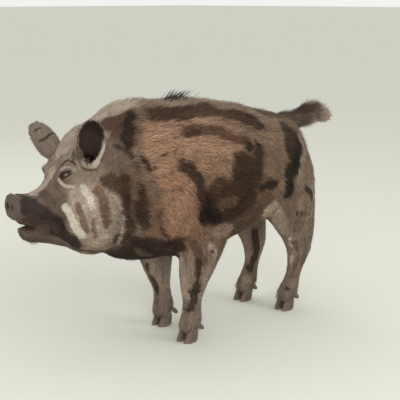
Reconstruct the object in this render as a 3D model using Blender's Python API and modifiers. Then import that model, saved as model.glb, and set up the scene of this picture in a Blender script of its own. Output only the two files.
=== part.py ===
"""A short-faced, prick-eared farm pig standing square, life size, as separate named solids.

The head looks along -X and the pig's left side is at -Y. The solids reach out to the tips of the coat.
Flesh is blocked out as overlapping masses, fused into one skin, and parted again with thin cuts.
"""
import math

import bmesh
import bpy
import numpy as np
from mathutils import Matrix, Vector

GAP = 0.0004                    # between neighbouring solids
GRAIN = 0.00004                 # points closer than this are one
FUSE_CELL = 0.007               # grain at which the masses are fused
FUSE_SMOOTHING = 8              # passes that fair the fused skin
BLEND_SMOOTHING = 26            # more passes where the masses should blend
FLESH_TRIANGLES = 2750          # left after the fused skin is thinned
SHARP_ANGLE = math.radians(45)  # edges sharper than this are not shaded smooth

FORE_FOOT_X = -0.155
HIND_FOOT_X = 0.300
FOOT_Y = 0.088                  # midline to the middle of a foot
CARPUS_Z = 0.160                # a foreleg is parted here
HOCK_Z = 0.190                  # and a hind leg here
STEP = {"fore_left": -0.015, "fore_right": 0.045, "hind_left": 0.000, "hind_right": -0.015}

HEAD_AT = Vector((-0.466, 0.006, 0.472))
HEAD_YAW = math.radians(-13)    # the face is turned to the pig's right
SNOUT_FACE = 0.253              # from the middle of the head to the snout's flat front
SNOUT_DISC_DEPTH = 0.016
EYE_RADIUS = 0.0125
EYE_AT = (0.108, 0.060, 0.092)  # forward, sideways and up in the head's frame
LOWER_LIP_U = -0.060            # level of the lower lip at its front, in the head's frame
MOUTH_GAP = 0.022               # between the lips at their front
EAR_AT = (0.040, 0.084, 0.118)
EAR_LENGTH = 0.138
EAR_HALF_WIDTH = 0.041
EAR_THICKNESS = 0.009
# each ear leans and opens its own way: forward, outward and up in the head's frame
EAR_LEAN = {"left": (-0.08, 0.28, 0.95), "right": (0.40, 0.42, 0.81)}
EAR_OPENS = {"left": (0.80, 0.55, 0.00), "right": (0.30, 0.95, 0.00)}

CLAW_HALF_LENGTH = 0.027
CLAW_HALF_WIDTH = 0.0140
CLAW_SPREAD = 0.0165            # from the middle of a foot to the middle of a claw
CLAW_HEIGHT = 0.050

SIDES = (("left", -1), ("right", 1))

HEAD = (
    Matrix.Translation(HEAD_AT)
    @ Matrix.Rotation(HEAD_YAW, 4, "Z")
)


def in_head(forward, sideways, up):
    """A point given by distances forward, to the pig's left and up from the middle of the head."""
    return HEAD @ Vector((-forward, -sideways, up))


# ---------------------------------------------------------------- general tools


def clear_scene():
    for obj in list(bpy.data.objects):
        bpy.data.objects.remove(obj, do_unlink=True)


def collection(name):
    made = bpy.data.collections.new(name)
    bpy.context.scene.collection.children.link(made)
    return made


def add_object(name, mesh, group):
    obj = bpy.data.objects.new(name, mesh)
    group.objects.link(obj)
    return obj


def smooth_rows(rows, steps):
    """Rows of numbers joined by a Catmull-Rom curve, with the given number of steps in each span."""
    rows = np.asarray(rows, float)
    padded = np.vstack([2 * rows[0] - rows[1], rows, 2 * rows[-1] - rows[-2]])
    found = []
    for i in range(len(rows) - 1):
        a, b, c, d = padded[i:i + 4]
        for t in np.arange(steps) / steps:
            found.append(
                0.5 * (2 * b + (c - a) * t + (2 * a - 5 * b + 4 * c - d) * t**2
                       + (3 * b - a - 3 * c + d) * t**3)
            )
    return np.array(found + [rows[-1]])


def loft(name, rings, group):
    """A closed surface through rings of equal length, with a fan over each end."""
    count = len(rings[0])
    bm = bmesh.new()
    loops = [[bm.verts.new(p) for p in ring] for ring in rings]
    for first, second in zip(loops, loops[1:]):
        for i in range(count):
            j = (i + 1) % count
            bm.faces.new((first[i], first[j], second[j], second[i]))
    for loop in (loops[0], loops[-1]):
        middle = bm.verts.new(sum((v.co for v in loop), Vector()) / count)
        for i in range(count):
            bm.faces.new((loop[i], loop[(i + 1) % count], middle))
    bmesh.ops.recalc_face_normals(bm, faces=bm.faces)
    mesh = bpy.data.meshes.new(name)
    bm.to_mesh(mesh)
    bm.free()
    return add_object(name, mesh, group)


def prism(name, near, far, group):
    """A block between two outlines of equally many corners."""
    bm = bmesh.new()
    first = [bm.verts.new(point) for point in near]
    second = [bm.verts.new(point) for point in far]
    bm.faces.new(first)
    bm.faces.new(second)
    for i in range(len(first)):
        j = (i + 1) % len(first)
        bm.faces.new((first[i], first[j], second[j], second[i]))
    bmesh.ops.recalc_face_normals(bm, faces=bm.faces)
    mesh = bpy.data.meshes.new(name)
    bm.to_mesh(mesh)
    bm.free()
    return cutter(add_object(name, mesh, group))


def egg_ring(centre, across, upward, half_width, up, down, points=28):
    """A ring that is half_width wide each way, with its own reach above and below its widest level."""
    angles = np.linspace(0, 2 * math.pi, points, endpoint=False)
    ring = []
    for angle in angles:
        reach = up if math.sin(angle) > 0 else down
        ring.append(centre + across * (half_width * math.cos(angle)) + upward * (reach * math.sin(angle)))
    return ring


def ellipsoid(name, centre, radii, group, turn=Matrix.Identity(4), segments=28):
    bpy.ops.mesh.primitive_uv_sphere_add(segments=segments, ring_count=segments // 2, radius=1.0)
    obj = bpy.context.object
    obj.name = name
    for other in list(obj.users_collection):
        other.objects.unlink(obj)
    group.objects.link(obj)
    obj.data.transform(Matrix.Translation(centre) @ turn @ Matrix.Diagonal((*radii, 1.0)))
    return obj


def evaluated_mesh(obj):
    bpy.context.view_layer.update()
    graph = bpy.context.evaluated_depsgraph_get()
    return bpy.data.meshes.new_from_object(obj.evaluated_get(graph))


def apply_modifiers(obj):
    made = evaluated_mesh(obj)
    obj.modifiers.clear()
    obj.data = made
    return obj


def boolean(obj, other, operation):
    modifier = obj.modifiers.new(operation.lower(), "BOOLEAN")
    modifier.object = other
    modifier.operation = operation
    return without_slivers(apply_modifiers(obj))


def without_slivers(obj):
    """Triangles only, with those thinner than the modelling grain closed up."""
    bm = bmesh.new()
    bm.from_mesh(obj.data)
    bmesh.ops.triangulate(bm, faces=bm.faces)
    bmesh.ops.remove_doubles(bm, verts=bm.verts, dist=GRAIN)
    bmesh.ops.dissolve_degenerate(bm, edges=bm.edges, dist=GRAIN)
    bm.to_mesh(obj.data)
    bm.free()
    return obj


def joined(name, objects, group):
    """One object that holds every mesh of these, which are removed."""
    bm = bmesh.new()
    for obj in objects:
        bm.from_mesh(obj.data)
        bpy.data.objects.remove(obj)
    mesh = bpy.data.meshes.new(name)
    bm.to_mesh(mesh)
    bm.free()
    return add_object(name, mesh, group)


def block(name, centre, size, group, turn=Matrix.Identity(4), grow=0.0):
    """A box cutter, grown by the same amount on every face."""
    bm = bmesh.new()
    bmesh.ops.create_cube(bm, size=1.0)
    scale = Matrix.Diagonal((*[s + 2 * grow for s in size], 1.0))
    bm.transform(Matrix.Translation(centre) @ turn @ scale)
    mesh = bpy.data.meshes.new(name)
    bm.to_mesh(mesh)
    bm.free()
    return cutter(add_object(name, mesh, group))


def cutter(obj):
    obj.hide_render = True
    obj.display_type = "WIRE"
    return obj


def material(name, colour, roughness):
    made = bpy.data.materials.new(name)
    made.use_nodes = True
    shader = made.node_tree.nodes["Principled BSDF"]
    shader.inputs["Base Color"].default_value = (*colour, 1.0)
    shader.inputs["Roughness"].default_value = roughness
    made.diffuse_color = (*colour, 1.0)
    return made


# ---------------------------------------------------------------- masses of flesh


def trunk_masses(group):
    # distance along the body, level of the widest point, half width, reach up, reach down
    stations = (
        (0.400, 0.535, 0.070, 0.064, 0.090),
        (0.370, 0.520, 0.116, 0.116, 0.140),
        (0.310, 0.504, 0.152, 0.166, 0.160),
        (0.220, 0.494, 0.184, 0.196, 0.172),
        (0.110, 0.486, 0.207, 0.228, 0.188),
        (0.000, 0.482, 0.218, 0.252, 0.208),
        (-0.110, 0.484, 0.215, 0.262, 0.226),
        (-0.220, 0.491, 0.199, 0.257, 0.226),
        (-0.310, 0.495, 0.168, 0.238, 0.208),
        (-0.370, 0.490, 0.120, 0.190, 0.150),
    )
    rings = [
        egg_ring(Vector((x, 0, z)), Vector((0, 1, 0)), Vector((0, 0, 1)), width, up, down)
        for x, z, width, up, down in smooth_rows(stations, 4)
    ]
    return [loft("trunk_mass", rings, group)]


def neck_mass(group):
    """From inside the shoulders to inside the head, bending to the side the face is turned to."""
    back, front = Vector((-0.180, 0, 0.495)), in_head(-0.02, 0, 0.02)
    # share of the way, half width, reach up, reach down
    stations = (
        (0.00, 0.195, 0.246, 0.220),
        (0.35, 0.182, 0.258, 0.228),
        (0.65, 0.160, 0.258, 0.218),
        (0.90, 0.142, 0.240, 0.190),
        (1.10, 0.118, 0.205, 0.150),
        (1.30, 0.060, 0.110, 0.080),
    )
    rings = []
    for t, width, up, down in smooth_rows(stations, 4):
        across = Matrix.Rotation(HEAD_YAW * min(t, 1), 3, "Z") @ Vector((0, 1, 0))
        rings.append(egg_ring(back.lerp(front, t), across, Vector((0, 0, 1)), width, up, down))
    return [loft("neck_mass", rings, group)]


def head_loft(name, stations, group):
    """A loft along the head; stations hold forward, level, half width, reach up and reach down."""
    across, upward = HEAD.to_3x3() @ Vector((0, 1, 0)), HEAD.to_3x3() @ Vector((0, 0, 1))
    rings = [
        egg_ring(in_head(f, 0, u), across, upward, width, up, down)
        for f, u, width, up, down in smooth_rows(stations, 4)
    ]
    return loft(name, rings, group)


def head_masses(group):
    face = (
        (-0.080, 0.010, 0.085, 0.150, 0.100),
        (-0.045, 0.005, 0.112, 0.205, 0.140),
        (0.000, 0.000, 0.118, 0.232, 0.160),
        (0.035, -0.002, 0.110, 0.226, 0.152),
        (0.070, -0.002, 0.094, 0.204, 0.136),
        (0.096, -0.002, 0.080, 0.164, 0.118),
        (0.118, -0.002, 0.069, 0.108, 0.104),
        (0.145, -0.004, 0.060, 0.072, 0.092),
        (0.180, -0.004, 0.052, 0.050, 0.078),
        (0.208, 0.000, 0.045, 0.043, 0.056),
        (0.234, 0.006, 0.043, 0.040, 0.041),
        (SNOUT_FACE, 0.009, 0.042, 0.040, 0.038),
    )
    chin = (
        (0.050, -0.073, 0.070, 0.030, 0.060),
        (0.110, -0.073, 0.060, 0.028, 0.047),
        (0.160, -0.071, 0.046, 0.024, 0.034),
        (0.202, -0.068, 0.037, 0.022, 0.030),
        (0.225, -0.065, 0.024, 0.016, 0.019),
    )
    masses = [head_loft("face_mass", face, group), head_loft("chin_mass", chin, group)]
    # name, place in the head's frame, radii
    pairs = (
        ("jowl", (0.034, 0.066, -0.040), (0.098, 0.074, 0.104)),
        ("cheek", (0.082, 0.052, 0.012), (0.062, 0.040, 0.056)),
        ("orbit", (0.094, 0.044, 0.094), (0.036, 0.030, 0.038)),
        ("ear_root", (0.008, 0.064, 0.112), (0.046, 0.034, 0.054)),
    )
    turn = HEAD.to_3x3().to_4x4()
    for name, place, radii in pairs:
        for side_name, side in SIDES:
            centre = in_head(place[0], -side * place[1], place[2])
            masses.append(ellipsoid(f"{name}_{side_name}", centre, radii, group, turn))
    return masses


def leg_mass(name, stations, side, step, group):
    """Stations hold x, y, z, half length and half width; the foot is moved by step and the top stays."""
    top = stations[0][2]
    rings = []
    for x, y, z, half_length, half_width in smooth_rows(stations, 3):
        centre = Vector((x + step * (1 - z / top), side * y, z))
        rings.append(egg_ring(centre, Vector((1, 0, 0)), Vector((0, 1, 0)),
                              half_length, half_width, half_width, 24))
    return loft(name, rings, group)


def foreleg_masses(group):
    x = FORE_FOOT_X
    stations = (
        (x + 0.030, 0.110, 0.450, 0.130, 0.070),
        (x + 0.030, 0.120, 0.370, 0.110, 0.068),
        (x + 0.024, 0.118, 0.300, 0.083, 0.060),
        (x + 0.015, 0.110, 0.240, 0.066, 0.050),
        (x + 0.009, 0.098, 0.175, 0.046, 0.041),
        (x + 0.012, 0.091, 0.120, 0.032, 0.031),
        (x + 0.013, FOOT_Y, 0.076, 0.034, 0.034),
        (x + 0.005, FOOT_Y, 0.052, 0.033, 0.034),
        (x + 0.002, FOOT_Y, 0.034, 0.027, 0.028),
    )
    masses = []
    for side_name, side in SIDES:
        key = f"fore_{side_name}"
        masses.append(leg_mass(f"{key}_mass", stations, side, STEP[key], group))
        masses.append(ellipsoid(f"shoulder_{side_name}", Vector((-0.130, side * 0.128, 0.500)),
                                (0.135, 0.092, 0.190), group))
    return masses


def hind_leg_masses(group):
    x = HIND_FOOT_X
    stations = (
        (x - 0.020, 0.092, 0.450, 0.135, 0.075),
        (x - 0.006, 0.104, 0.370, 0.118, 0.068),
        (x + 0.016, 0.108, 0.300, 0.094, 0.058),
        (x + 0.044, 0.104, 0.240, 0.068, 0.045),
        (x + 0.058, 0.098, 0.195, 0.050, 0.038),
        (x + 0.048, 0.092, 0.140, 0.032, 0.029),
        (x + 0.032, 0.090, 0.100, 0.030, 0.030),
        (x + 0.020, FOOT_Y, 0.072, 0.034, 0.034),
        (x + 0.008, FOOT_Y, 0.052, 0.033, 0.034),
        (x + 0.002, FOOT_Y, 0.034, 0.027, 0.028),
    )
    masses = []
    for side_name, side in SIDES:
        key = f"hind_{side_name}"
        masses.append(leg_mass(f"{key}_mass", stations, side, STEP[key], group))
        masses.append(ellipsoid(f"ham_{side_name}", Vector((0.278, side * 0.090, 0.448)),
                                (0.126, 0.086, 0.150), group))
        masses.append(ellipsoid(f"point_of_hock_{side_name}",
                                Vector((x + 0.090 + STEP[key] * 0.5, side * 0.097, 0.212)),
                                (0.022, 0.018, 0.034), group))
    return masses


def tail_mass(group):
    # x, y, z and half thickness, from inside the rump to the tip of the tuft
    stations = (
        (0.325, 0.000, 0.600, 0.044),
        (0.380, 0.000, 0.622, 0.040),
        (0.430, 0.002, 0.628, 0.032),
        (0.480, 0.008, 0.634, 0.030),
        (0.530, 0.014, 0.640, 0.038),
        (0.575, 0.018, 0.642, 0.048),
        (0.620, 0.020, 0.636, 0.047),
        (0.660, 0.021, 0.626, 0.030),
        (0.680, 0.022, 0.618, 0.010),
    )
    rings = [
        egg_ring(Vector((x, y, z)), Vector((0, 1, 0)), Vector((-0.3, 0, 1)).normalized(),
                 0.75 * reach, reach, reach, 20)
        for x, y, z, reach in smooth_rows(stations, 3)
    ]
    return [loft("tail_mass", rings, group)]


def softness(point):
    """How far the blending passes act: all the way on the trunk and jowls, not at all on legs and tail."""
    body = smooth_step(0.26, 0.34, point.z) * smooth_step(0.44, 0.41, point.x)
    snout = smooth_step(0.20, 0.12, -(HEAD.inverted() @ point).x)
    return body * snout


def smooth_step(start, end, value):
    t = min(max((value - start) / (end - start), 0.0), 1.0)
    return t * t * (3 - 2 * t)


def fused_flesh(group):
    """All the masses as one faired skin, thinned to the triangles it may have."""
    masses = (
        trunk_masses(group) + neck_mass(group) + head_masses(group)
        + foreleg_masses(group) + hind_leg_masses(group) + tail_mass(group)
    )
    flesh = joined("flesh", masses, group)
    remesh = flesh.modifiers.new("fuse", "REMESH")
    remesh.mode = "VOXEL"
    remesh.voxel_size = FUSE_CELL
    fair = flesh.modifiers.new("fair", "SMOOTH")
    fair.factor = 0.5
    fair.iterations = FUSE_SMOOTHING
    apply_modifiers(flesh)
    soft = flesh.vertex_groups.new(name="soft")
    for vertex in flesh.data.vertices:
        soft.add([vertex.index], softness(vertex.co), "REPLACE")
    blend = flesh.modifiers.new("blend", "SMOOTH")
    blend.factor = 0.5
    blend.iterations = BLEND_SMOOTHING
    blend.vertex_group = "soft"
    apply_modifiers(flesh)
    thin = flesh.modifiers.new("thin", "DECIMATE")
    flesh.data.calc_loop_triangles()
    thin.ratio = FLESH_TRIANGLES / len(flesh.data.loop_triangles)
    return apply_modifiers(flesh)


# ---------------------------------------------------------------- ears, eyes and claws


def ear(name, side, group):
    """A cupped leaf: a tube at its root that opens and flattens towards a round tip."""
    root = in_head(EAR_AT[0], -side * EAR_AT[1], EAR_AT[2])
    turn = HEAD.to_3x3()
    which = "left" if side < 0 else "right"
    along = (turn @ Vector((-EAR_LEAN[which][0], side * EAR_LEAN[which][1], EAR_LEAN[which][2]))).normalized()
    back = turn @ Vector((EAR_OPENS[which][0], -side * EAR_OPENS[which][1], EAR_OPENS[which][2]))
    back = (back - along * back.dot(along)).normalized()
    across = along.cross(back)
    # share of the length, half width as a share of the widest, half angle of the cup in degrees
    stations = (
        (-0.18, 0.46, 150),
        (0.00, 0.54, 145),
        (0.18, 0.74, 105),
        (0.38, 0.95, 72),
        (0.58, 1.00, 54),
        (0.76, 0.86, 42),
        (0.90, 0.60, 32),
        (1.00, 0.22, 26),
    )
    bm = bmesh.new()
    rows = []
    for share, width, cup in stations:
        half_angle = math.radians(cup)
        radius = EAR_HALF_WIDTH * width / math.sin(min(half_angle, math.pi / 2))
        middle = root + along * (EAR_LENGTH * share) - back * (0.25 * EAR_LENGTH * share**2)
        row = []
        for turned in np.linspace(-half_angle, half_angle, 9):
            sideways = across * (radius * math.sin(turned))
            row.append(bm.verts.new(middle + sideways + back * (radius * (math.cos(turned) - 1))))
        rows.append(row)
    for low, high in zip(rows, rows[1:]):
        for i in range(len(low) - 1):
            bm.faces.new((low[i], low[i + 1], high[i + 1], high[i]))
    mesh = bpy.data.meshes.new(name)
    bm.to_mesh(mesh)
    bm.free()
    obj = add_object(name, mesh, group)
    wall = obj.modifiers.new("wall", "SOLIDIFY")
    wall.thickness = EAR_THICKNESS
    wall.offset = 0
    return apply_modifiers(obj)


def eye(name, side, group, grow=0.0):
    radius = EYE_RADIUS + grow
    centre = in_head(EYE_AT[0], -side * EYE_AT[1], EYE_AT[2])
    return ellipsoid(name, centre, (radius, radius, radius), group, segments=12)


def claw_rings(centre, half_length, half_width, height, lean, grow):
    """Rings from a flat sole up to the hidden root; the toe points to -X and the wall leans back."""
    # height, length and width as shares
    stations = ((0.00, 0.94, 0.93), (0.12, 1.00, 1.00), (0.60, 0.84, 0.96), (1.00, 0.50, 0.66))
    rings = []
    for share, long, wide in stations:
        middle = centre + Vector((lean * share, 0, height * share))
        if grow:
            middle.z += grow if share > 0.5 else -grow
        ring = []
        for angle in np.linspace(0, 2 * math.pi, 12, endpoint=False):
            taper = 1 - 0.30 * max(0.0, math.cos(angle)) ** 2
            ring.append(middle + Vector((
                -(half_length * long + grow) * math.cos(angle),
                (half_width * wide + grow) * math.sin(angle) * taper,
                0,
            )))
        rings.append(ring)
    return rings


def feet():
    """Each foot's name, the side it is on and the middle of its claws."""
    for side_name, side in SIDES:
        for end, x in (("fore", FORE_FOOT_X), ("hind", HIND_FOOT_X)):
            key = f"{end}_{side_name}"
            yield key, side, Vector((x + STEP[key] - 0.006, side * FOOT_Y, 0))


def claws(group, grow=0.0):
    """Two main claws that stand on the floor and two dewclaws behind them, on each foot."""
    made = []
    for key, side, foot in feet():
        for place, out in (("outer", side), ("inner", -side)):
            main = foot + Vector((0, out * CLAW_SPREAD, 0))
            made.append(loft(
                f"claw_{key}_{place}",
                claw_rings(main, CLAW_HALF_LENGTH, CLAW_HALF_WIDTH, CLAW_HEIGHT, 0.014, grow), group))
            dew = foot + Vector((0.052, out * 0.021, 0.048))
            tip = dew + Vector((0.006, out * 0.004, -0.020))
            rings = []
            for share, radius in ((0.0, 0.0090), (0.5, 0.0090), (0.85, 0.0065), (1.0, 0.0030)):
                middle = (dew + Vector((-0.012, 0, 0.012))).lerp(tip, share)
                rings.append(egg_ring(middle, Vector((0, 1, 0)), Vector((0.8, 0, 0.6)),
                                      radius + grow, radius + grow, radius + grow, 8))
            made.append(loft(f"dewclaw_{key}_{place}", rings, group))
    return made


# ---------------------------------------------------------------- parting the flesh


def split(obj, name, shape, grown):
    """The part of a solid inside a cutter, as a new object; the solid keeps what is outside the grown one."""
    inside = bpy.data.objects.new(name, obj.data.copy())
    obj.users_collection[0].objects.link(inside)
    boolean(inside, shape, "INTERSECT")
    boolean(obj, grown, "DIFFERENCE")
    return inside


def split_by_block(obj, name, low, high, group, turn=Matrix.Identity(4), origin=Vector()):
    """Part a solid with a box that reaches from low to high in a turned frame; returns the inside."""
    low, high = Vector(low), Vector(high)
    centre, size = (low + high) / 2, high - low
    place = origin + turn.to_3x3() @ centre
    shape = block(f"cut_{name}", place, size, group, turn)
    grown = block(f"cut_{name}_grown", place, size, group, turn, GAP)
    return split(obj, name, shape, grown)


def part_legs(flesh, group):
    """Each leg leaves the body at a plane that rises outwards, just under the belly."""
    legs = []
    for end, x, inner_z, rise, split_z in (("fore", FORE_FOOT_X, 0.233, 0.58, CARPUS_Z),
                                           ("hind", HIND_FOOT_X, 0.268, 0.50, HOCK_Z)):
        for side_name, side in SIDES:
            key = f"{end}_{side_name}"
            shapes = []
            for grow in (0.0, GAP):
                corners = ((0.004, -0.100), (0.330, -0.100), (0.330, inner_z + 0.300 * rise),
                           (0.004, inner_z - 0.026 * rise))
                outlines = [
                    [(plane_x, side * y, z + (grow if z > 0 else -grow)) for y, z in corners]
                    for plane_x in (x - 0.150 - grow, x + 0.170 + grow)
                ]
                shapes.append(prism(f"cut_{key}_{grow}", *outlines, group))
            upper = split(flesh, f"leg_{key}_upper", *shapes)
            lower = split_by_block(upper, f"leg_{key}_lower", (x - 0.3, -0.4, -0.1), (x + 0.3, 0.4, split_z), group)
            legs += [upper, lower]
    return legs


def part_head(flesh, group):
    frame = HEAD.to_3x3().to_4x4()
    head = split_by_block(flesh, "head", (-0.400, -0.300, -0.300), (0.050, 0.300, 0.400), group, frame, HEAD_AT)
    snout = split_by_block(head, "snout", (-0.400, -0.100, -0.055),
                           (SNOUT_DISC_DEPTH - SNOUT_FACE, 0.100, 0.100), group, frame, HEAD_AT)
    for side in (-1, 1):
        pit = ellipsoid("nostril", in_head(SNOUT_FACE - 0.001, side * 0.0160, 0.009),
                        (0.011, 0.0062, 0.0100), group, frame, 12)
        boolean(snout, cutter(pit), "DIFFERENCE")
    # forward and up: the mouth narrows to its corner, and the jaw ends under the cheek
    corner, below = (0.128, -0.052), (0.108, -0.220)
    cuts = []
    for grow, lip in ((0.0, LOWER_LIP_U), (GAP, LOWER_LIP_U + MOUTH_GAP)):
        profile = ((corner[0] - grow, corner[1] + grow), (0.320, lip), (0.320 + grow, -0.220 - grow),
                   (below[0] - grow, below[1] - grow))
        outlines = [[in_head(f, side * (0.200 + grow), u) for f, u in profile] for side in (1, -1)]
        cuts.append(prism(f"cut_jaw_{grow}", *outlines, group))
    jaw = split(head, "jaw", *cuts)
    return [head, snout, jaw]


def largest_piece(obj):
    """Keep only the biggest of the pieces a mesh falls into."""
    bm = bmesh.new()
    bm.from_mesh(obj.data)
    left, pieces = set(bm.verts), []
    while left:
        seed = left.pop()
        piece, edge = {seed}, [seed]
        while edge:
            vertex = edge.pop()
            for link in vertex.link_edges:
                other = link.other_vert(vertex)
                if other in left:
                    left.remove(other)
                    piece.add(other)
                    edge.append(other)
        pieces.append(piece)
    pieces.sort(key=len, reverse=True)
    for piece in pieces[1:]:
        bmesh.ops.delete(bm, geom=list(piece), context="VERTS")
    bm.to_mesh(obj.data)
    bm.free()
    return obj


def grown_copy(obj, amount, group):
    copy = bpy.data.objects.new(f"{obj.name}_grown", obj.data.copy())
    group.objects.link(copy)
    push = copy.modifiers.new("push", "DISPLACE")
    push.strength = amount
    push.mid_level = 0.0
    return cutter(apply_modifiers(copy))


def centred_on_floor(objects):
    """Move everything so that the middle of the bounds is over the origin and the soles are at zero."""
    points = np.concatenate([[tuple(v.co) for v in obj.data.vertices] for obj in objects])
    low, high = points.min(axis=0), points.max(axis=0)
    shift = Vector((-(low[0] + high[0]) / 2, -(low[1] + high[1]) / 2, -low[2]))
    for obj in bpy.data.objects:
        obj.data.transform(Matrix.Translation(shift))


def main():
    clear_scene()
    pig, cutters = collection("pig"), collection("cutters")
    flesh = fused_flesh(pig)
    hide = grown_copy(flesh, 2 * GAP, cutters)

    hard, hollows = claws(pig), claws(cutters, GAP)
    for side_name, side in SIDES:
        hard.append(eye(f"eye_{side_name}", side, pig))
        hollows.append(eye(f"socket_{side_name}", side, cutters, GAP))
    boolean(flesh, cutter(joined("hollows", hollows, cutters)), "DIFFERENCE")

    ears = [ear(f"ear_{side_name}", side, pig) for side_name, side in SIDES]
    for made in ears:
        boolean(made, hide, "DIFFERENCE")
        largest_piece(made)

    soft = part_legs(flesh, cutters)
    tail = split_by_block(flesh, "tail", (0.402, -0.100, 0.550), (0.900, 0.120, 0.800), cutters)
    soft += [tail, split_by_block(tail, "tail_tuft", (0.545, -0.100, 0.500), (0.900, 0.120, 0.800), cutters)]
    soft += part_head(flesh, cutters)
    for name, rear in (("neck", -0.300), ("chest", -0.060), ("barrel", 0.190)):
        soft.append(split_by_block(flesh, name, (-0.900, -0.400, 0.000), (rear, 0.400, 1.000), cutters))
    flesh.name = "rump"
    soft.append(flesh)

    for group, colour, roughness in (
        (soft, (0.24, 0.17, 0.13), 0.80),
        (ears, (0.10, 0.07, 0.06), 0.80),
        ([obj for obj in hard if "claw" in obj.name], (0.06, 0.05, 0.045), 0.50),
        ([obj for obj in hard if "eye" in obj.name], (0.02, 0.012, 0.008), 0.10),
    ):
        for obj in group:
            obj.data.materials.clear()
            obj.data.materials.append(material(f"{obj.name}_surface", colour, roughness))
            obj.data.shade_smooth()
            obj.data.set_sharp_from_angle(angle=SHARP_ANGLE)
    centred_on_floor(soft + ears + hard)


if __name__ == "__main__":
    main()
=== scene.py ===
# A bristly farm pig, life size, standing square with its face turned a little to its right.
# One hide stands for all the flesh, with a coat of mesh tufts over it; the eyes and claws are their own.
import math

import bmesh
import bpy
import numpy as np
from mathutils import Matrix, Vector
from mathutils.bvhtree import BVHTree


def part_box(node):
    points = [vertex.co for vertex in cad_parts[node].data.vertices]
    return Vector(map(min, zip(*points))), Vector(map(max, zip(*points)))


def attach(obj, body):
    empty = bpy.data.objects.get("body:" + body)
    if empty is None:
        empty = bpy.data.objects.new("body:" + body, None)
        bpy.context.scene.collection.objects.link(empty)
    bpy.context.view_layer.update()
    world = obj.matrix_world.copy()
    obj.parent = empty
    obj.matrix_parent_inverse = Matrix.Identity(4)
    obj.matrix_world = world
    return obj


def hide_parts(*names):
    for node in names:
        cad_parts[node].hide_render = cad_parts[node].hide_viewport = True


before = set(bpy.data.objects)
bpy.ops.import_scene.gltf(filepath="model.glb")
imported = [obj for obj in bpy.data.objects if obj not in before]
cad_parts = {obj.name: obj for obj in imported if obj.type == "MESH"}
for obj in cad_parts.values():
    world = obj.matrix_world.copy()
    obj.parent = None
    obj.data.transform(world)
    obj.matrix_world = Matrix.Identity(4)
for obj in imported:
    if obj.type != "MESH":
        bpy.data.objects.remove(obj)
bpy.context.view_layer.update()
rng = np.random.default_rng(11)
print("frame loaded:", len(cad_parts), "solids")


# small tools

def ease(start, end, value):
    # 0 before start, 1 after end, and a smooth S between them
    share = np.clip((value - start) / (end - start), 0, 1)
    return share * share * (3 - 2 * share)


def bell(value, middle, width):
    # 1 at the middle, and a smooth fall to nothing on both sides
    return np.exp(-((value - middle) / width) ** 2)


def unit(vectors):
    return vectors / np.maximum(np.linalg.norm(vectors, axis=-1, keepdims=True), 1e-9)


def squareTo(axes, vectors):
    # the vectors without what runs along the axes, as units
    return unit(vectors - axes * (vectors * axes).sum(-1, keepdims=True))


def mirrored(row, sign):
    return np.array(row, float) * (1, sign, 1)


def oneSided(places, sign):
    # both sides of the pig brought to one
    return np.c_[places[:, 0], sign * np.abs(places[:, 1]), places[:, 2]]


def roundTurn(count):
    return np.linspace(0, 2 * math.pi, count, endpoint=False)[None]


def grain(places, cell, seed):
    # smooth noise from -1 to 1: hashed numbers at the corners of cubes this big, eased in between
    scaled = np.asarray(places, float) / cell + 4096.0
    low = np.floor(scaled).astype(np.int64)
    part = scaled - low
    part = part * part * (3 - 2 * part)
    total = np.zeros(len(scaled))
    for corner in range(8):
        step = np.array([corner & 1, corner >> 1 & 1, corner >> 2 & 1])
        at = low + step
        mixed = at[:, 0] * 374761393 + at[:, 1] * 668265263 + at[:, 2] * 2147483647 + seed * 974634777
        mixed = (mixed ^ (mixed >> 13)) * 1274126177
        mixed = (mixed ^ (mixed >> 16)) & 0xFFFF
        weight = np.prod(np.where(step, part, 1 - part), axis=1)
        total += weight * (mixed / 32767.5 - 1)
    return total


def drift(places, cell, seed):
    # three such noises side by side
    return np.stack([grain(places, cell, seed + axis) for axis in range(3)], 1)


def pathDistance(places, path):
    # distance from each place to the nearest point of a line through the path's points
    path = np.atleast_2d(np.asarray(path, float))
    if len(path) == 1:
        return np.linalg.norm(places - path[0], axis=1)
    best = np.full(len(places), 1e9)
    for start, end in zip(path, path[1:]):
        run = end - start
        share = np.clip((places - start) @ run / max(run @ run, 1e-12), 0, 1)
        best = np.minimum(best, np.linalg.norm(places - start - share[:, None] * run, axis=1))
    return best


def curved(path, steps=5):
    # the path's points joined by a Catmull-Rom curve
    rows = np.atleast_2d(np.asarray(path, float))
    if len(rows) < 3:
        return rows
    padded = np.vstack([2 * rows[0] - rows[1], rows, 2 * rows[-1] - rows[-2]])
    a, b, c, d = padded[:-3, None], padded[1:-2, None], padded[2:-1, None], padded[3:, None]
    t = (np.arange(steps) / steps)[None, :, None]
    found = 0.5 * (2 * b + (c - a) * t + (2 * a - 5 * b + 4 * c - d) * t ** 2
                   + (3 * b - a - 3 * c + d) * t ** 3)
    return np.vstack([found.reshape(-1, rows.shape[1]), rows[-1]])


def lineThrough(path):
    # a curve through places given in millimetres
    return curved(np.atleast_2d(path) / 1000)


def newMesh(name, points, corners, sizes):
    # corners are the point numbers of every face in turn, sizes the number of corners of each face
    mesh = bpy.data.meshes.new(name)
    mesh.vertices.add(len(points))
    mesh.vertices.foreach_set("co", np.asarray(points, np.float32).ravel())
    mesh.loops.add(len(corners))
    mesh.loops.foreach_set("vertex_index", np.asarray(corners, np.int32))
    mesh.polygons.add(len(sizes))
    starts = np.concatenate(([0], np.cumsum(sizes)[:-1])).astype(np.int32)
    mesh.polygons.foreach_set("loop_start", starts)
    mesh.polygons.foreach_set("use_smooth", np.ones(len(sizes), bool))
    mesh.update(calc_edges=True)
    return mesh


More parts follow.
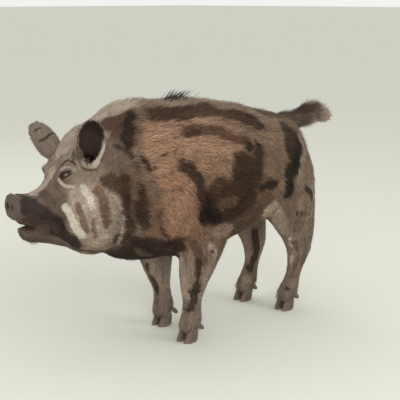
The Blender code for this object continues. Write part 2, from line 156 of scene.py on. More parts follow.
def gridFaces(rows, columns, around=True):
    # four-cornered faces between neighbouring rows of a grid, closed round the columns if asked
    row, column = np.mgrid[0:rows - 1, 0:columns if around else columns - 1]
    beside = (column + 1) % columns
    corners = np.stack([row * columns + column, row * columns + beside,
                        (row + 1) * columns + beside, (row + 1) * columns + column], -1)
    return corners.reshape(-1, 4)


def gathered(items, key, width, kind=np.float32):
    # one row of values for every item
    values = np.empty(len(items) * width, kind)
    items.foreach_get(key, values)
    return values.reshape(-1, width)


def meshArrays(mesh):
    # points, their normals and the triangles of a mesh
    mesh.calc_loop_triangles()
    points, normals = gathered(mesh.vertices, "co", 3), gathered(mesh.vertex_normals, "vector", 3)
    return points.astype(float), normals.astype(float), gathered(mesh.loop_triangles, "vertices", 3, np.int32)


def searchTree(points, triangles):
    return BVHTree.FromPolygons(points.tolist(), triangles.tolist())


def setPoints(mesh, points):
    mesh.vertices.foreach_set("co", np.asarray(points, np.float32).ravel())
    mesh.update()


def setColour(mesh, colours):
    made = mesh.attributes.new("coatColour", "FLOAT_COLOR", "POINT")
    made.data.foreach_set("color", np.c_[colours, np.ones(len(colours))].astype(np.float32).ravel())


def setNumber(mesh, name, values):
    mesh.attributes.new(name, "FLOAT", "POINT").data.foreach_set("value", np.asarray(values, np.float32))


def faired(points, edges, rounds, share):
    # each round moves every point towards the mean of its neighbours
    count = len(points)
    degree = np.maximum(np.bincount(edges.ravel(), minlength=count), 1)
    points = points.copy()
    for _ in range(rounds):
        for axis in range(3):
            value = points[:, axis]
            total = (np.bincount(edges[:, 0], weights=value[edges[:, 1]], minlength=count)
                     + np.bincount(edges[:, 1], weights=value[edges[:, 0]], minlength=count))
            points[:, axis] = value + share * (total / degree - value)
    return points


def edgeArray(mesh):
    return gathered(mesh.edges, "vertices", 2, np.int32)


def newObject(name, data):
    made = bpy.data.objects.new(name, data)
    bpy.context.scene.collection.objects.link(made)
    return made


def addPiece(name, mesh, material, slotName, *nodes):
    piece = newObject(name, mesh)
    mesh.materials.clear()
    mesh.materials.append(material)
    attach(piece, "root")
    if nodes:
        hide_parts(*nodes)


def linear(red, green, blue):
    # a colour given as 0 to 255 on a screen, as light
    share = np.array([red, green, blue]) / 255
    return np.where(share < 0.04045, share / 12.92, ((share + 0.055) / 1.055) ** 2.4)


# the head's own frame: forward, to the pig's left, and up, from the middle of the head

sideSign = {"left": 1, "right": -1}


def middleOf(node):
    low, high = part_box(node)
    return np.array((low + high) / 2)


eyeMiddle = {side: middleOf(f"eye_{side}") for side in sideSign}
eyeRadius = (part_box("eye_left")[1].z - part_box("eye_left")[0].z) / 2
headUp = np.array([0, 0, 1.0])
headLeft = unit(eyeMiddle["left"] - eyeMiddle["right"])
headForward = np.cross(headLeft, headUp)
headFrame = np.array([headForward, headLeft, headUp])
eyesInHead = np.array([0.108, 0, 0.092])
headMiddle = (eyeMiddle["left"] + eyeMiddle["right"]) / 2 - eyesInHead @ headFrame


def fromHead(rows):
    return headMiddle + np.asarray(rows, float) @ headFrame


def toHead(places):
    return (places - headMiddle) @ headFrame.T


# the ears' own lines: where each is rooted, where it points, and which way its back faces

earValues = {
    "root": (0.040, 0.084, 0.118),
    "length": 0.135,
    "halfWidth": 0.0405,
    "thickness": 0.0046,
    "lean": {"left": (-0.08, 0.28, 0.95), "right": (0.40, 0.42, 0.81)},
    "back": {"left": (-0.80, -0.55, 0.00), "right": (-0.30, -0.95, 0.00)},
    # share of the length, half width as a share of the widest, half angle of the cup in degrees
    "stations": ((-0.40, 0.44, 178), (0.04, 0.46, 178), (0.12, 0.54, 150), (0.22, 0.68, 118),
                 (0.38, 0.90, 84), (0.56, 1.00, 60), (0.74, 0.88, 46), (0.89, 0.60, 36), (1.00, 0.20, 28)),
    "bend": 0.25,               # how far the tip leans forward, as a share of the length
    "turnFrom": 0.26,           # below this share the root turns into the head
    "turnLength": 0.30,
    "turnAngle": 1.25,
    "foot": 0.02,               # where the outer face starts to flare into the hide
    "bore": 0.0185,             # radius of the canal
    "pit": 0.026,               # how deep the canal runs into the head
    "canalReach": 0.034,        # how far along its axis it counts, up and down
}


def earFrame(side):
    v, sign = earValues, sideSign[side]
    root = fromHead(mirrored(v["root"], sign))
    along = unit(mirrored(v["lean"][side], sign) @ headFrame)
    back = squareTo(along, mirrored(v["back"][side], sign) @ headFrame)
    return root, along, back, np.cross(along, back)


def earWidth(share):
    # half width of the ear as a share of the widest, and half angle of its cup in degrees
    stations = curved(earValues["stations"], 6)
    return np.interp(share, stations[:, 0], stations[:, 1]), np.interp(share, stations[:, 0], stations[:, 2])


def earPoints(side, share, turned, lift):
    # share of the way up, angle round the cup as a share of the half angle, distance off the middle sheet;
    # under the turn the middle line follows an arc into the head, and the rings turn with it
    v = earValues
    root, along, back, across = earFrame(side)
    width, half = earWidth(share)
    half = np.radians(half)
    radius = v["halfWidth"] * width / np.sin(np.minimum(half, math.pi / 2))
    angle = half * turned
    upper = np.maximum(share, v["turnFrom"])
    down = np.maximum((v["turnFrom"] - share) / v["turnLength"], 0)
    turn = (v["turnAngle"] * np.minimum(down, 1))[..., None]
    arc = v["length"] * v["turnLength"] / v["turnAngle"]
    straight = (v["length"] * v["turnLength"] * np.maximum(down - 1, 0))[..., None]
    out = squareTo(along, sideSign[side] * headFrame[1])
    middle = (root + along * (v["length"] * upper)[..., None]
              - back * (v["bend"] * v["length"] * upper ** 2)[..., None]
              - along * arc * np.sin(turn) - out * arc * (1 - np.cos(turn))
              - (along * np.cos(turn) + out * np.sin(turn)) * straight)
    centred = radius * (0.45 + 0.55 * ease(0.02, 0.30, share))
    aside = (across * ((radius + lift) * np.sin(angle))[..., None]
             + back * ((radius + lift) * np.cos(angle) - centred)[..., None])
    return middle + aside + (aside @ out)[..., None] * ((np.cos(turn) - 1) * out - np.sin(turn) * along)


def earGuides():
    # the hair on an ear runs to its tip, and out over its edges
    rows = []
    for side in sideSign:
        root, along, back, across = earFrame(side)
        for share in (0.12, 0.35, 0.6, 0.85):
            for turned in (-0.9, -0.4, 0.0, 0.4, 0.9):
                spot = earPoints(side, np.array([share]), np.array([turned]), np.zeros(1))[0]
                rows.append((spot, along + across * turned * 0.6, (10 + 3 * abs(turned), 1.5, 13, 1.5, 2.9)))
    return rows


# the lie and make of the coat, place by place; what stands between is blended from the nearest rows

def legRows(end, side):
    # rows down one leg, set out from its solids
    low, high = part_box(f"leg_{end}_{side}_lower")
    middle = (np.array(low) + np.array(high)) / 2
    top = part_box(f"leg_{end}_{side}_upper")[1].z
    rows = []
    for height, length, width, depth in ((top, 17, 2.4, 4.0), (0.20, 14, 2.1, 3.2), (0.15, 12, 1.8, 2.8),
                                         (0.10, 13, 1.7, 2.4), (0.070, 17, 1.7, 2.2), (0.048, 19, 1.6, 1.4)):
        lean = 0.25 if height > 0.07 else 0.05
        spacing = 3.1 if height < 0.12 else 3.5
        for sideways in (-0.03, 0.03):
            rows.append(((middle[0], middle[1] + sideways, height), (lean, -0.1 * sideSign[side], -1),
                         (length, width, 13, depth, spacing)))
    return rows


# in the head's frame: place, lie, and length, width, lift in degrees, depth, spacing; all in millimetres
headCoat = {
    "snout top": ((215, 12, 46), (-1, 0, 0.25), (4.5, 1.1, 10, 1, 3.2)),
    "snout side": ((200, 48, -10), (-1, 0.1, -0.2), (7, 1.3, 15, 1, 2.8)),
    "bridge": ((150, 12, 70), (-0.8, 0, 0.6), (6, 1.3, 11, 1.4, 2.9)),
    "brow": ((105, 35, 128), (-0.5, 0.1, 0.9), (9, 1.5, 14, 2, 2.8)),
    "forehead": ((65, 15, 190), (-0.5, 0, 0.9), (15, 1.9, 16, 3.2, 3)),
    "crown": ((10, 15, 232), (-1, 0, 0.15), (24, 2.4, 18, 6, 3.6)),
    "poll": ((-70, 20, 262), (-1, 0, 0), (34, 2.8, 18, 9, 4)),
    "under eye": ((120, 66, 50), (-1, 0.4, -0.3), (6, 1.3, 10, 1.5, 2.7)),
    "cheek": ((85, 90, 20), (-1, 0.2, -0.6), (9, 1.6, 12, 2.2, 2.8)),
    "temple": ((35, 92, 110), (-1, 0.2, 0.2), (12, 1.8, 14, 3, 3)),
    "jowl": ((35, 130, -40), (-0.9, 0, -0.6), (15, 2, 15, 3.5, 3.2)),
    "back of jowl": ((-45, 120, -45), (-1, 0, -0.5), (22, 2.4, 16, 5, 3.6)),
    "lip": ((180, 48, -45), (-1, 0.1, -0.3), (7, 1.3, 16, 1, 2.8)),
    "chin": ((200, 20, -88), (-1, 0, -0.3), (8, 1.4, 18, 2, 2.9)),
    "throat": ((80, 20, -122), (-1, 0, -0.1), (13, 2, 15, 3.5, 3.4)),
}
# in the model's frame, for the left side, which is at -Y
bodyCoat = {
    "neck top": ((-300, -20, 735), (1, 0, 0.05), (44, 3.2, 18, 11, 4.3)),
    "neck high": ((-360, -90, 690), (1, 0, -0.3), (34, 3, 16, 9, 4.2)),
    "neck side": ((-385, -140, 560), (1, 0, -0.45), (26, 2.7, 15, 7, 4.1)),
    "neck low": ((-370, -130, 420), (0.9, 0, -0.6), (24, 2.6, 15, 6, 4.2)),
    "throat base": ((-360, -20, 330), (0.8, 0, -0.7), (22, 2.5, 15, 6, 4.6)),
    "shoulder": ((-250, -170, 610), (0.9, 0, -0.55), (27, 2.7, 14, 7, 4.1)),
    "shoulder low": ((-250, -170, 440), (0.55, 0, -0.85), (23, 2.6, 14, 6, 4.1)),
    "back front": ((-130, -20, 745), (1, 0, 0), (42, 3.1, 17, 11, 4.3)),
    "back middle": ((20, -20, 735), (1, 0, -0.05), (38, 3, 16, 10, 4.3)),
    "back rear": ((180, -20, 705), (1, 0, -0.15), (36, 3, 16, 9, 4.3)),
    "side high": ((-20, -180, 630), (1, 0, -0.4), (31, 2.9, 14, 8, 4.2)),
    "side": ((-10, -210, 490), (1, 0, -0.35), (28, 2.8, 13, 7, 4.2)),
    "side low": ((-50, -190, 370), (1, 0, -0.2), (25, 2.7, 14, 6.5, 4.3)),
    "belly": ((0, -50, 275), (1, 0, 0), (20, 2.6, 16, 5, 5)),
    "flank": ((140, -190, 450), (0.8, 0, -0.6), (26, 2.7, 14, 6.5, 4.1)),
    "rump top": ((300, -30, 670), (0.8, 0, -0.6), (31, 2.9, 15, 8, 4.2)),
    "rump side": ((280, -170, 510), (0.5, 0, -0.9), (26, 2.7, 14, 7, 4.1)),
    "rump rear": ((410, -70, 490), (0.1, 0, -1), (26, 2.7, 14, 6, 4.1)),
    "thigh": ((290, -160, 350), (0.25, 0, -1), (21, 2.4, 14, 5, 3.8)),
    "groin": ((210, -40, 320), (0.8, 0, -0.6), (15, 2.3, 14, 4, 4.8)),
    "tail root": ((430, -20, 635), (1, 0, 0.05), (32, 2.6, 30, 4, 3.2)),
    "tail": ((500, -10, 640), (1, 0, 0.05), (32, 2.6, 26, 4, 3.2)),
}


def coatGuides():
    # the tables' rows on both sides of the pig, then the legs' and the ears'
    rows = []
    for sign in (1, -1):
        rows += [(fromHead(mirrored(place, sign) / 1000), mirrored(lie, sign) @ headFrame, make)
                 for place, lie, make in headCoat.values()]
        rows += [(mirrored(place, sign) / 1000, mirrored(lie, sign), make)
                 for place, lie, make in bodyCoat.values()]
    rows += [row for end in ("fore", "hind") for side in sideSign for row in legRows(end, side)]
    rows += earGuides()
    places, lies, makes = (np.array(column, float) for column in zip(*rows))
    return places, unit(lies), makes


guidePlaces, guideLies, guideMakes = coatGuides()


def coatAt(places):
    # each guide counts by one over the fourth power of its distance, which is never under 2 cm
    lies, makes = np.empty((len(places), 3)), np.empty((len(places), 5))
    atOnce, softening = 20000, 0.02 ** 2
    for start in range(0, len(places), atOnce):
        part = slice(start, start + atOnce)
        apart = ((places[part, None] - guidePlaces[None]) ** 2).sum(2) + softening
        share = 1 / apart ** 2
        share /= share.sum(1, keepdims=True)
        lies[part] = share @ guideLies
        makes[part] = share @ guideMakes
    return unit(lies), makes


# the hide: the flesh solids fused, faired, drawn in by the depth of the coat, and modelled

hideValues = {
    "cell": 0.0034,             # grain at which the solids are fused
    "closing": 0.0007,          # how far each is swollen first, to close the cuts between them
    "fairAll": 5,               # rounds over everything
    "fairBody": 60,             # and over all but the face and feet
    "fairLast": 6,              # once it is drawn in
    "triangles": 92000,         # left before the face is divided more finely
    "finerFrom": 0.085,         # in front of this in the head's frame,
    "finerEye": ((0.108, 0.06, 0.092), 0.045),      # and within this distance of the eye
    "bulge": 0.0030,            # height of broad unevenness on the body
    "dimple": 0.0012,           # and of small
    "waver": 0.0025,            # how far the modelled lines stray
    "unwrapShare": 0.09,        # of the triangles in the copy that is unwrapped
}
legNodes = [f"leg_{end}_{side}_{part}" for end in ("fore", "hind")
            for side in sideSign for part in ("upper", "lower")]
fusedNodes = ["head", "jaw", "snout", "neck", "chest", "barrel", "rump", "tail"] + legNodes
fleshNodes = fusedNodes + ["tail_tuft", "ear_left", "ear_right"]


def swollenSolids():
    # merged copies of the solids in one mesh, each swollen along its normals
    bm = bmesh.new()
    for name in fusedNodes:
        one = bmesh.new()
        one.from_mesh(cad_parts[name].data)
        bmesh.ops.remove_doubles(one, verts=one.verts, dist=2e-5)
        one.normal_update()
        for vert in one.verts:
            vert.co += vert.normal * hideValues["closing"]
        copy = bpy.data.meshes.new("copy")
        one.to_mesh(copy)
        one.free()
        bm.from_mesh(copy)
        bpy.data.meshes.remove(copy)
    mesh = bpy.data.meshes.new("solids")
    bm.to_mesh(mesh)
    bm.free()
    return mesh


def modified(mesh, kind, group=None, **values):
    # the mesh as one modifier leaves it; group holds a weight for each point
    holder = newObject("holder", mesh)
    if group is not None:
        weights = holder.vertex_groups.new(name="weight")
        levels = 4
        steps = np.round(group * levels).astype(int)
        for step in range(1, levels + 1):
            weights.add(np.flatnonzero(steps == step).tolist(), step / levels, "REPLACE")
        values["vertex_group"] = "weight"
    modifier = holder.modifiers.new("only", kind)
    for key, value in values.items():
        setattr(modifier, key, value)
    found = bpy.data.meshes.new_from_object(holder.evaluated_get(bpy.context.evaluated_depsgraph_get()))
    bpy.data.objects.remove(holder)
    bpy.data.meshes.remove(mesh)
    return found


def fusedHide():
    mesh = modified(swollenSolids(), "REMESH", mode="VOXEL", voxel_size=hideValues["cell"])
    points, normals, triangles = meshArrays(mesh)
    edges = edgeArray(mesh)
    face = ease(0.03, 0.10, toHead(points)[:, 0])
    body = (1 - face) * ease(0.06, 0.11, points[:, 2])
    points = faired(points, edges, hideValues["fairAll"], 0.5)
    points = faired(points, edges, hideValues["fairBody"], 0.5 * body)
    setPoints(mesh, points)
    points, normals, triangles = meshArrays(mesh)
    depth = coatAt(points)[1][:, 3] / 1000 + hideValues["closing"]
    points -= normals * depth[:, None]
    points = faired(points, edges, hideValues["fairLast"], 0.4 * (0.25 + 0.75 * body))
    setPoints(mesh, points)
    print("hide fused:", len(triangles), "triangles")
    thin = modified(mesh, "DECIMATE", 1 - face, ratio=hideValues["triangles"] / len(triangles),
                    vertex_group_factor=1.0)
    print("hide thinned:", len(thin.polygons), "faces")
    return thin


def finerFace(mesh):
    # the front of the face with its triangles divided in four
    bm = bmesh.new()
    bm.from_mesh(mesh)
    bmesh.ops.triangulate(bm, faces=[face for face in bm.faces if len(face.verts) > 3])
    places = oneSided(toHead(np.array([face.calc_center_median() for face in bm.faces])), 1)
    eye, reach = hideValues["finerEye"]
    near = (places[:, 0] > hideValues["finerFrom"]) | (np.linalg.norm(places - eye, axis=1) < reach)
    bm.faces.ensure_lookup_table()
    edges = {edge for index in np.flatnonzero(near) for edge in bm.faces[index].edges}
    bmesh.ops.subdivide_edges(bm, edges=list(edges), cuts=1, use_grid_fill=True)
    bmesh.ops.triangulate(bm, faces=[face for face in bm.faces if len(face.verts) > 3])
    made = bpy.data.meshes.new("hide")
    bm.to_mesh(made)
    bm.free()
    bpy.data.meshes.remove(mesh)
    return made


hideMesh = finerFace(fusedHide())
print("hide divided:", len(hideMesh.polygons), "faces")


# modelling of the hide: creases and swellings along lines, each (height, half width, path) in millimetres

# in the head's frame, on both sides; a positive height stands out and a negative one is a crease
headLines = {
    "eye fold": (-2.2, 4.5, ((129, 42, 67), (124, 68, 42), (104, 90, 33), (88, 97, 60))),
    "cheek fold": (-2, 5.5, ((97, 104, 14), (91, 121, -20), (82, 126, -57))),
    "cheek hollow": (-3.2, 10, ((34, 109, 51), (26, 128, 11), (19, 136, -42))),
    "jowl edge": (3, 8, ((-12, 129, 32), (-29, 131, -15), (-37, 120, -64), (-32, 93, -115))),
    "behind jowl": (-5, 9, ((-40, 125, 45), (-62, 125, -15), (-70, 115, -70), (-60, 80, -125))),
    "mouth": (-4, 3.4, ((200, 46, -52), (186, 50, -53), (156, 60, -53), (130, 74, -50), (112, 88, -40))),
    "lower lip": (1.8, 5, ((232, 0, -64), (222, 22, -64), (196, 38, -65), (160, 52, -66))),
    "lip above": (1.6, 4, ((215, 45, -28), (172, 53, -40), (140, 62, -40))),
    "corner fold": (-1.8, 4, ((128, 66, -10), (118, 80, -30), (106, 92, -52), (100, 94, -75))),
    "brow fold low": (-1.6, 2.6, ((122, 40, 112), (108, 50, 122), (86, 64, 126), (70, 76, 116))),
    "brow fold high": (-1.8, 4, ((112, 18, 130), (98, 36, 142), (74, 56, 150), (52, 76, 146))),
    "brow": (3, 6, ((120, 30, 116), (104, 46, 131), (80, 62, 136), (62, 76, 126))),
    "tear line": (-1.6, 3, ((124, 46, 84), (140, 44, 66), (156, 48, 46))),
    "snout wrinkle one": (-1.5, 2.4, ((226, 0, 50), (224, 24, 43), (221, 43, 22), (220, 48, 0))),
    "snout wrinkle two": (-1.3, 2.4, ((208, 0, 52), (206, 24, 45), (203, 44, 24), (204, 50, 4))),
    "snout wrinkle three": (-1.1, 2.6, ((190, 0, 56), (187, 24, 50), (184, 44, 30))),
    "snout wrinkle four": (-0.9, 2.8, ((170, 0, 62), (166, 24, 56), (162, 44, 36))),
    "bridge fold": (-1.2, 3.5, ((140, 0, 80), (134, 22, 78), (132, 38, 66))),
    "forehead furrow": (-2, 7, ((108, 0, 132), (86, 2, 172), (58, 4, 208))),
    "throat fold": (-3, 8, ((60, 0, -140), (52, 50, -132), (40, 90, -104))),
}
# in the model's frame, on both sides
bodyLines = {
    "neck crease": (-5, 13, ((-405, -90, 690), (-400, -135, 590), (-400, -145, 480), (-370, -125, 390))),
    "neck crease two": (-4, 13, ((-366, -140, 560), (-362, -155, 470), (-345, -140, 390))),
    "shoulder front": (-4.5, 14, ((-330, -100, 700), (-335, -150, 600), (-325, -165, 480),
        (-310, -145, 380))),
    "shoulder blade": (4.5, 22, ((-250, -130, 690), (-275, -175, 580), (-280, -180, 480))),
    "behind blade": (-4, 15, ((-170, -150, 690), (-195, -190, 600), (-240, -190, 520), (-262, -185, 490))),
    "elbow": (5, 24, ((-250, -175, 455), (-235, -170, 390))),
    "behind elbow": (-7, 18, ((-190, -200, 520), (-176, -204, 460), (-165, -193, 390), (-140, -170, 330))),
    "rib one": (-1.6, 9, ((-120, -200, 630), (-110, -217, 520), (-85, -205, 400))),
    "rib two": (-1.6, 9, ((-60, -195, 640), (-45, -219, 520), (-25, -205, 400))),
    "rib three": (-1.4, 9, ((0, -190, 630), (15, -215, 520), (35, -200, 410))),
    "flank fold": (-8, 20, ((120, -205, 500), (160, -198, 430), (175, -165, 350))),
    "hip": (5, 24, ((190, -140, 650), (230, -165, 590))),
    "thigh muscle": (-4, 16, ((240, -180, 520), (262, -175, 440), (285, -150, 360))),
    "ham": (4, 26, ((350, -140, 500), (350, -155, 420))),
    "tail head": (-4, 12, ((395, -20, 668), (412, -45, 630), (420, -40, 590))),
}
mouthLine = lineThrough(headLines["mouth"][2])
snoutValues = {
    "face": 0.2520,             # how far forward the flat of the disc lies
    "rim": 0.2455,              # where its edge stands out furthest
    "groove": 0.2335,           # and where the groove behind it is deepest
    "rimHeight": 0.0026,
    "middleUp": 0.009,
    "halfWidth": 0.0415,
    "halfHeight": 0.0385,
    "nostrilSide": 0.0162,
    "nostrilUp": 0.009,
    "nostrilDepth": 0.014,
    "nostrilHalf": (0.0066, 0.0092),
}


def modelLines(points, normals, lines, places):
    # a bell-shaped rise or crease across each line, with a soft shoulder on both sides of a crease
    height = np.zeros(len(points))
    for rise, width, path in lines.values():
        away = pathDistance(places, lineThrough(path)) / (width / 1000)
        height += rise / 1000 * bell(away, 0, 1)
        if rise < 0:
            height -= 0.30 * rise / 1000 * bell(away, 1.9, 0.9)
    return points + normals * height[:, None]


def modelSnout(points):
    # the disc is flattened with a raised rim and a groove behind it, and the nostrils are driven in
    v = snoutValues
    forward, sideways, up = toHead(points).T
    across = sideways / v["halfWidth"]
    high = (up - v["middleUp"]) / v["halfHeight"]
    away = np.hypot(across, high)
    front = ease(0.226, 0.236, forward) * (away < 1.6)
    swell = v["rimHeight"] * (bell(forward, v["rim"], 0.0045) - bell(forward, v["groove"], 0.0045))
    spread = 1 + swell * ease(0.55, 0.9, away) * front / np.maximum(away * v["halfWidth"], 0.01)
    sideways, up = sideways * spread, v["middleUp"] + (up - v["middleUp"]) * spread
    # the face of the disc: a shallow dish, a low ridge round it and a cleft down the middle of its foot
    dish = -0.0022 * (1 - ease(0.2, 0.85, away)) + 0.0010 * bell(away, 0.88, 0.10)
    dish += -0.0016 * bell(sideways, 0, 0.0022) * ease(0.1, -0.5, high)
    onDisc = ease(0.2475, 0.2500, forward) * (away < 0.97)
    forward = forward * (1 - onDisc) + (v["face"] + dish) * onDisc
    # the nostrils are leaning ovals with a low lip round them
    beside = np.abs(sideways) - v["nostrilSide"]
    above = up - v["nostrilUp"] - 0.25 * beside
    hole = np.hypot(beside / v["nostrilHalf"][0], above / v["nostrilHalf"][1])
    nearDisc = forward > 0.226
    lipOfHole = 0.0012 * bell(hole, 1.25, 0.22)
    sunk = v["face"] + 0.0005 - v["nostrilDepth"] * (1 - ease(0.55, 1.12, hole))
    forward = np.where(nearDisc & (hole < 1.2), np.minimum(forward, sunk), forward) + lipOfHole * nearDisc
    return fromHead(np.c_[forward, sideways, up])


def modelHide(mesh):
    points, normals, triangles = meshArrays(mesh)
    edges = edgeArray(mesh)
    points = faired(points, edges, 2, 0.4 * ease(0.05, 0.09, toHead(points)[:, 0]))
    setPoints(mesh, points)
    points, normals, triangles = meshArrays(mesh)
    wander = drift(points, 0.03, 1) * hideValues["waver"]
    points = modelLines(points, normals, headLines, oneSided(toHead(points), 1) + wander)
    points = modelLines(points, normals, bodyLines, oneSided(points, -1) + wander * 3)
    bulk = grain(points, 0.11, 4) * hideValues["bulge"] + grain(points, 0.05, 5) * hideValues["dimple"]
    body = 1 - ease(-0.02, 0.05, toHead(points)[:, 0])
    points = points + normals * (bulk * body * ease(0.12, 0.25, points[:, 2]))[:, None]
    setPoints(mesh, modelSnout(points))


modelHide(hideMesh)
print("hide modelled")


# eyes: a ball with a bulging cornea, and lids that follow it and run out into the hide

eyeValues = {
    "halfLength": 0.0112,       # of the opening between the lids
    "up": 0.0058,
    "down": 0.0046,
    "outer": (0.030, 0.025, 0.027),     # the lids' own patch of skin: half length, up and down
    "lidThickness": 0.0020,
    "slant": (0.92, 0.0, -0.30),        # towards the inner corner, in the head's frame
    "rows": 30,
    "columns": 72,
    # over the eye (1) the lid's crease, the brow and a fold in it; under it (-1) a crease, the pouch, a fold
    # under that and one in it: each its height, how far out it lies and its width as shares of the patch
    "folds": ((1, -0.0017, 0.27, 0.055), (1, 0.0026, 0.55, 0.18), (1, -0.0012, 0.46, 0.04),
              (-1, -0.0014, 0.22, 0.05), (-1, 0.0028, 0.46, 0.15), (-1, -0.0020, 0.72, 0.06),
              (-1, -0.0010, 0.36, 0.03)),
}


def eyeFrame(side, points, normals):
    # out of the head, along the slit towards its inner corner, and up across it
    near = np.linalg.norm(points - eyeMiddle[side], axis=1) < 0.030
    outward = unit(normals[near].mean(0))
    along = squareTo(outward, np.array(eyeValues["slant"]) @ headFrame)
    across = np.cross(along, outward)
    return outward, along, across * np.sign(across[2])


def heightOver(tree, place, outward, reach=0.06):
    # how far out from the place the hide lies
    hit = tree.ray_cast(Vector(place + outward * reach), Vector(-outward), 0.10)[3]
    return 0.0 if hit is None else reach - hit


def lidPatch(side, points, normals, tree):
    # r runs from the edge of the opening to the patch's outer edge, and turn goes once round it.
    # height over the eye's middle is the smooth greater of the hide's own height and a ball's over the eye
    v = eyeValues
    outward, along, across = eyeFrame(side, points, normals)
    middle = eyeMiddle[side]
    r = np.linspace(0, 1, v["rows"])[:, None]
    turn = roundTurn(v["columns"])
    sine, cosine = np.sin(turn), np.cos(turn)
    reach = np.where(sine > 0, v["up"], v["down"])
    openX = v["halfLength"] * cosine
    openY = reach * sine * np.abs(sine) ** 0.30
    outerX = v["outer"][0] * cosine
    outerY = np.where(sine > 0, v["outer"][1], v["outer"][2]) * sine
    out = r ** 1.35
    x, y = openX + (outerX - openX) * out, openY + (outerY - openY) * out
    flat = middle + x[..., None] * along + y[..., None] * across
    heights = np.array([heightOver(tree, place, outward) for place in flat.reshape(-1, 3)]).reshape(x.shape)
    over = (eyeRadius + v["lidThickness"]) ** 2 - x ** 2 - y ** 2
    ball = np.sqrt(np.maximum(over, 0)) - 0.03 * (over < 0)
    apart = heights - ball
    height = (heights + ball + np.sqrt(apart ** 2 + 0.0035 ** 2)) / 2
    for half, rise, middleRow, width in v["folds"]:
        height = height + rise * bell(r, middleRow, width) * ease(0.0, 0.5, half * sine)
    # small creases fan out from the corners
    height = height - 0.0009 * np.abs(cosine) ** 8 * np.sin(r * 26 + turn * 3) * (1 - r)
    blend = ease(0.72, 1.0, r)
    height = height * (1 - blend) + (heights - 0.0002) * blend
    edge = np.sqrt(np.maximum((eyeRadius + 0.0002) ** 2 - x ** 2 - y ** 2, 0))
    height[0] = edge[0]
    height[1] = np.maximum(edge[1] + v["lidThickness"] * 0.75, height[1] - 0.0006)
    # the lids' edges reach a little past the opening, and a hidden row runs in behind them
    flat[0] += (flat[0] - middle) * 0.06
    hidden = flat[0] + outward * (height[0] - 0.0035)[..., None]
    return np.concatenate([hidden[None], flat + height[..., None] * outward]), (outward, along, across)


def socketed(mesh, frames):
    # the hide under each patch is drawn in, so that only the patch shows there
    points, normals, triangles = meshArrays(mesh)
    v = eyeValues
    for side, (outward, along, across) in frames.items():
        offset = points - eyeMiddle[side]
        x, y, depth = offset @ along, offset @ across, offset @ outward
        reach = np.where(y > 0, v["outer"][1], v["outer"][2])
        away = np.hypot(x / v["outer"][0], y / reach)
        sunk = 0.009 * (1 - ease(0.45, 0.97, away)) * (depth > -0.012)
        points = points - outward * sunk[:, None]
    setPoints(mesh, points)


eyelids, eyeFrames = {}, {}
points, normals, triangles = meshArrays(hideMesh)
modelledTree = searchTree(points, triangles)
for side in sideSign:
    eyelids[side], eyeFrames[side] = lidPatch(side, points, normals, modelledTree)
socketed(hideMesh, eyeFrames)
print("eyelids laid round the eyes")


# ears: a leaf with two faces, cupped round its length, whose outer root flares into the hide

def earShell(side, tree):
    # the root is a tube that opens upwards; outside it flares into the hide and inside it runs down blind
    rows, flareRows, columns = 38, 10, 56
    foot = earValues["foot"]
    share = np.concatenate([np.linspace(foot, 0.97, rows), (0.995, 1.012)])[:, None]
    turned, facing = (wave(roundTurn(columns)) + 0 * share for wave in (np.cos, np.sin))
    thick = earValues["thickness"] * (1 - 0.45 * np.clip(share, 0, 1)) * (1 - 0.5 * ease(0.94, 1.01, share))
    lift = 0.5 * thick * np.sign(facing) * np.abs(facing) ** 0.55
    ripple = 0.0016 * np.sin(7 * turned + 3 * share) * np.abs(turned) ** 2 * ease(0.15, 0.5, share)
    leaf = earPoints(side, share + 0 * turned, turned, lift + ripple)
    tip = leaf[-1].mean(0)
    leaf[-1] = tip + (leaf[-1] - tip) * 0.25
    ring = leaf[0]
    axis = unit(leaf[1].mean(0) - ring.mean(0))
    radial = squareTo(axis, ring - ring.mean(0))
    outer = ease(-0.35, -0.05, facing[0])[:, None]
    flare = []
    for q in np.linspace(1, 1 / flareRows, flareRows):
        down = earPoints(side, np.full((1, columns), foot - 0.30 * q), turned[:1], lift[:1])[0]
        spread = ring - axis * 0.014 * q + radial * 0.012 * q ** 1.5
        laid = np.array([tree.find_nearest(Vector(place))[0][:] for place in spread])
        settled = ease(0.0, 0.95, q)
        flared = (ring + (down - ring) * 0.25) * (1 - settled) + (laid - axis * 0.0004) * settled
        flare.append(flared * outer + down * (1 - outer))
    inside = np.concatenate([np.repeat(facing[:1], flareRows, 0), facing])
    return np.concatenate([np.array(flare), leaf]), inside


def inEar(side, points):
    # how far each point is from the axis of the ear's root, as a share of its bore, and the axis
    turned = np.linspace(-1, 1, 24, endpoint=False)
    middle, deeper = (earPoints(side, earValues["foot"] - down + 0 * turned, turned, 0 * turned).mean(0)
                      for down in (0, 0.1))
    axis = unit(middle - deeper)
    offset = points - middle
    depth = offset @ axis
    away = np.linalg.norm(offset - axis * depth[:, None], axis=1) / earValues["bore"]
    return np.where(np.abs(depth) < earValues["canalReach"], away, 9.0), axis


def openedEars(mesh):
    # the hide under each ear's root is drawn in, so that the ear's canal is a pit
    points, normals, triangles = meshArrays(mesh)
    for side in sideSign:
        away, axis = inEar(side, points)
        points = points - axis * (earValues["pit"] * (1 - ease(1.00, 1.25, away)))[:, None]
    setPoints(mesh, points)


def outwardGrid(points, outwardHint):
    # quads over the grid, turned so that they face along the hint
    corners = gridFaces(points.shape[0], points.shape[1])
    flat = points.reshape(-1, 3)
    first, second, third = flat[corners[:, 0]], flat[corners[:, 1]], flat[corners[:, 2]]
    facing = np.cross(second - first, third - second)
    if (facing * outwardHint.reshape(-1, 3)[corners[:, 0]]).sum() < 0:
        corners = corners[:, ::-1]
    return flat, corners


